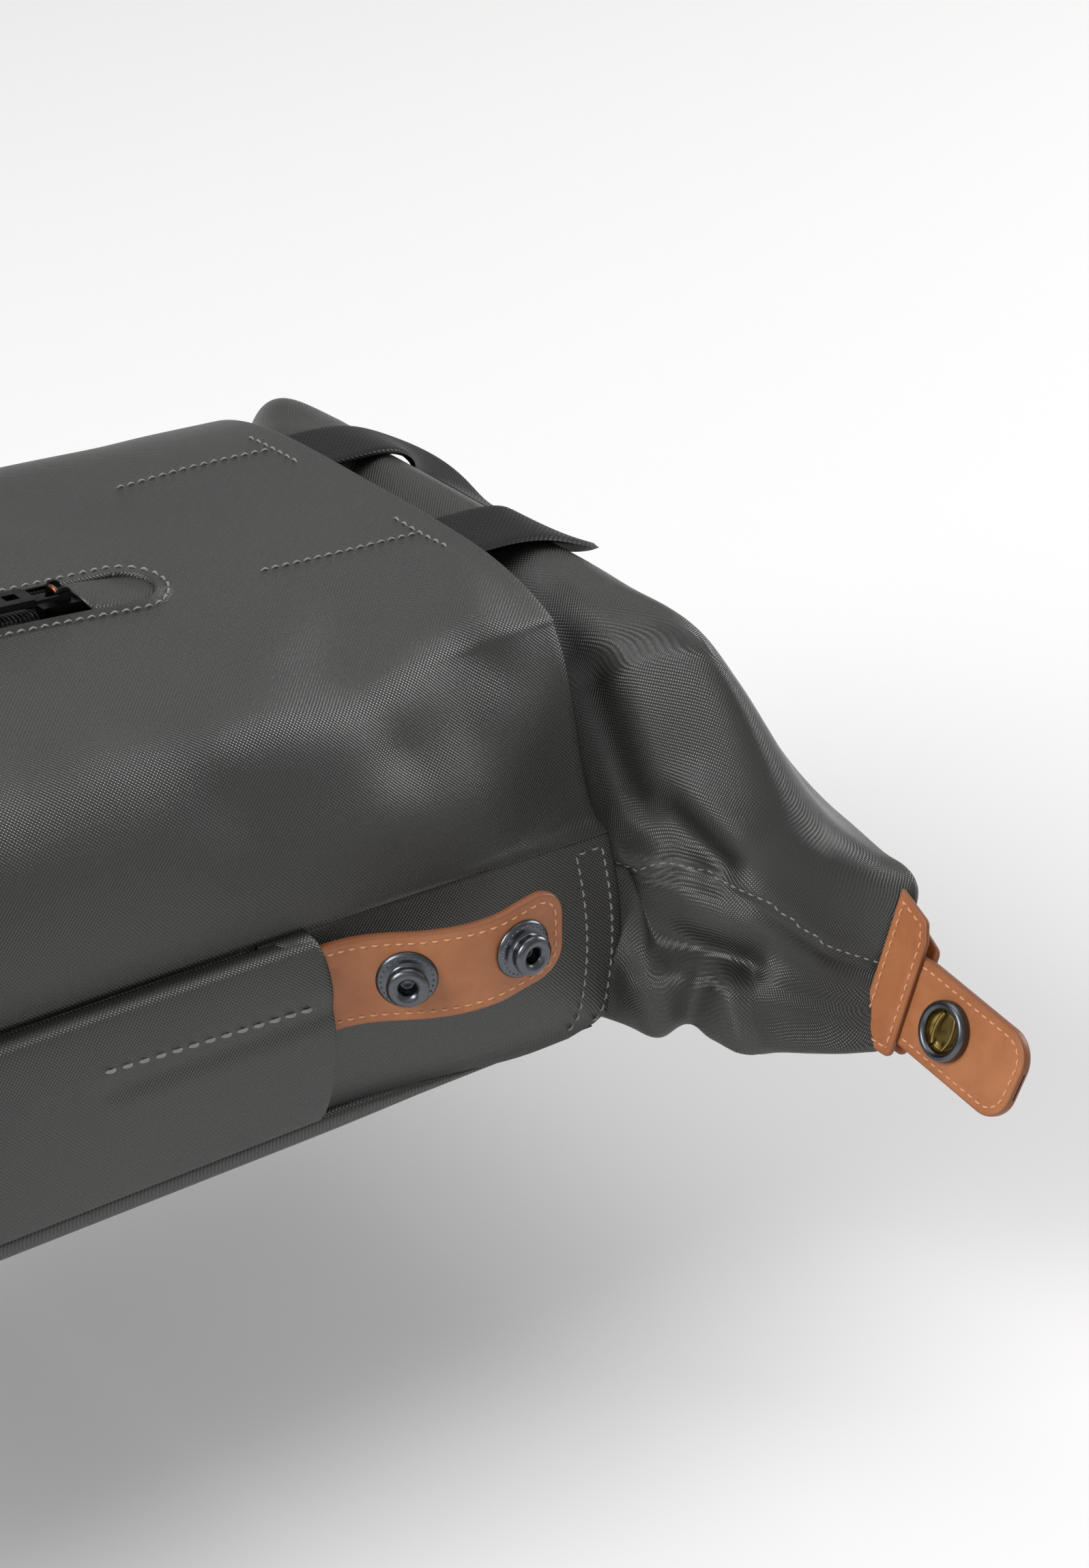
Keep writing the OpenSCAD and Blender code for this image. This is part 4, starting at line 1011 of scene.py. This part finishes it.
for word, sign in (("right", 1), ("left", -1)):
    strap = leather_piece("leather_strap_" + word, strap_outline, on_strap, 2.8, sign, count=(150, 34))
    joint = ("bag", "strap_" + word, (0.0735, 0, 0.047), (0.0795, 0, 0.047))
    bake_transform(strap)
    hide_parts("strap_root_" + word, "strap_leather_" + word, "strap_backing_" + word)
    line, out = path_on(on_strap, inset(strap_outline, 2.4), 1.25)
    stitches("strap_stitches_" + word, line, out, leather_thread, 3.0, 2.3, 0.3, joint, sign)
    for k, x in enumerate((92.6, 119.6)):
        t = math.atan(float(strap_line(x + 0.5) - strap_line(x - 0.5)))
        ahead, out = np.array([math.cos(t), -math.sin(t), 0]), np.array([-math.sin(t), -math.cos(t), 0])
        centre = on_strap(np.array(x), np.array(0.0), np.array(0.0)) + out * 1.35
        stud = lathe(f"ring_stud_{word}_{k + 1}", stud_profile, centre, ahead, out, gunmetal,
                     "strap_" + word, sign)
        behind = lathe(f"stud_back_{word}_{k + 1}", back_stud, centre - out * 2.9, ahead, out, gunmetal,
                       "strap_" + word, sign)
        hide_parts("strap_studs_" + word)
        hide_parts("stud_backs_" + word)
        across = np.cross(out, ahead)
        seats = centre + 6.75 * (np.cos(bead_turn) * ahead + np.sin(bead_turn) * across) + out * 1.32
        dome = 0.34 * (np.cos(bead_arc) * (np.cos(bead_round) * ahead + np.sin(bead_round) * across)
                       + np.sin(bead_arc) * out)
        beads = make_mesh(f"stud_beads_{word}_{k + 1}", seats[:, None, None] + dome, bead_quads, gunmetal,
                          side=sign)
        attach(beads, "strap_" + word)

# ---- Closure tabs -------------------------------------------------------------------------------
# A two-layer leather patch is sewn over each corner of the mouth. The tab sewn between its layers holds
# a snap socket: a gunmetal ring with a brass spring inside, and a flat cap behind.

MOUTH_X, MOUTH_LEAN = X_EDGE + 50.0, math.radians(20)


def at_mouth(local):
    """Mouth coordinates (through, across, up its slope) to the bag's."""
    x, y, z = np.moveaxis(np.asarray(local, float), -1, 0)
    c, s = math.cos(MOUTH_LEAN), math.sin(MOUTH_LEAN)
    return np.stack([MOUTH_X + x * c + z * s, y, -x * s + z * c], -1)


def patch_place(through_x):
    """The place function of a patch layer lying at through_x; a is measured out to the right."""
    return lambda a, b, h: at_mouth(np.stack([through_x - h + 0 * a, -a + 0 * b, b + 0 * a], -1))


TAB_HINGE, TAB_DROOP = (-1.6, -169.0, 18.34), math.radians(7)


def on_tab(a, b, h):
    """The tab's place along, across and out of its socket face."""
    c, s = math.cos(TAB_DROOP), math.sin(TAB_DROOP)
    a, b, h = np.broadcast_arrays(a, b, h)
    x, y, z = TAB_HINGE
    return at_mouth(np.stack([x - h, y - a * c - b * s, z - a * s + b * c], -1))


patch_outline = rounded((153.3, 2.3, 0.3), (153.3, 44.6, 0.3), (164.8, 4.2, 2.2), (164.6, 34.5, 2.6),
                        (163, 38.5, 2.6))
patch_inner_outline = rounded((146, 3.2, 0.5), (146, 43, 0.5), (165.2, 4.8, 2.2), (165.2, 31.5, 2.6))
tab_outline = rounded((-15, -11.2, 0.2), (-15, 11.2, 0.2), (0, -12.2, 0.3), (0, 12.2, 0.3),
                      (32.3, -3.9, 8.6), (32.3, 3.9, 8.6))
socket_ring = [(5.75, 0.0), (5.7, 1.0), (5.8, 2.2), (6.3, 2.9), (7.0, 3.1), (7.7, 2.8), (8.15, 2.0),
               (8.25, 1.0), (8.2, 0.0)]
socket_cup = [(0.02, 0.1), (3.4, 0.12), (4.6, 0.3), (5.3, 0.9), (5.6, 1.8)]
cap_profile = [(6.8, 0.0), (6.6, -0.6), (5.6, -1.0), (3.5, -1.15), (0.02, -1.2)]
for word, sign in (("right", 1), ("left", -1)):
    for layer, outline, at_x in (("outer", patch_outline, -3.8), ("inner", patch_inner_outline, 1.0)):
        patch = leather_piece(f"leather_patch_{layer}_{word}", outline, patch_place(at_x), 1.4, sign)
        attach(patch, "collar")
        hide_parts(f"patch_{layer}_{word}")
    line, out = path_on(patch_place(-3.8), inset(patch_outline, 2.2), 0.6)
    stitches("patch_stitches_" + word, line, out, leather_thread, 3.0, 2.3, 0.3, "collar", sign)
    tab = leather_piece("leather_tab_" + word, tab_outline, on_tab, 2.8, sign)
    joint = ("collar", "tab_" + word, (0.2192, -0.1655 * sign, 0.018), (0.2203, -0.1715 * sign, 0.018))
    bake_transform(tab)
    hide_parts("tab_root_" + word, "tab_leather_" + word, "tab_backing_" + word)
    line, out = path_on(on_tab, inset(tab_outline, 2.4), 1.25)
    stitches("tab_stitches_" + word, line, out, leather_thread, 3.0, 2.3, 0.3, joint, sign)
    face = on_tab(13.0, 0.0, 1.4)
    outward = unit(on_tab(13.0, 0.0, 2.4) - face)
    ahead = unit(on_tab(14.0, 0.0, 1.4) - face)
    socket = lathe("snap_socket_ring_" + word, socket_ring, face, ahead, outward, gunmetal,
                   "tab_" + word, sign)
    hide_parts("snap_socket_" + word)
    cup = lathe("snap_socket_cup_" + word, socket_cup, face, ahead, outward, brass, "tab_" + word, sign)
    behind = lathe("snap_socket_cap_" + word, cap_profile, face - outward * 2.8, ahead, outward, gunmetal,
                   "tab_" + word, sign)
    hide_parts("snap_cap_" + word)
    for k, shift in ((1, 3.1), (2, -3.1)):
        t = np.linspace(-1, 1, 15)
        wire = (face + outward * 1.3 + ahead * (shift * (1 - 0.35 * t ** 2))[:, None]
                + np.cross(outward, ahead) * (4.6 * t)[:, None])
        spring = tube(f"snap_spring_{word}_{k}", wire, 0.5, brass, "tab_" + word, side=sign)
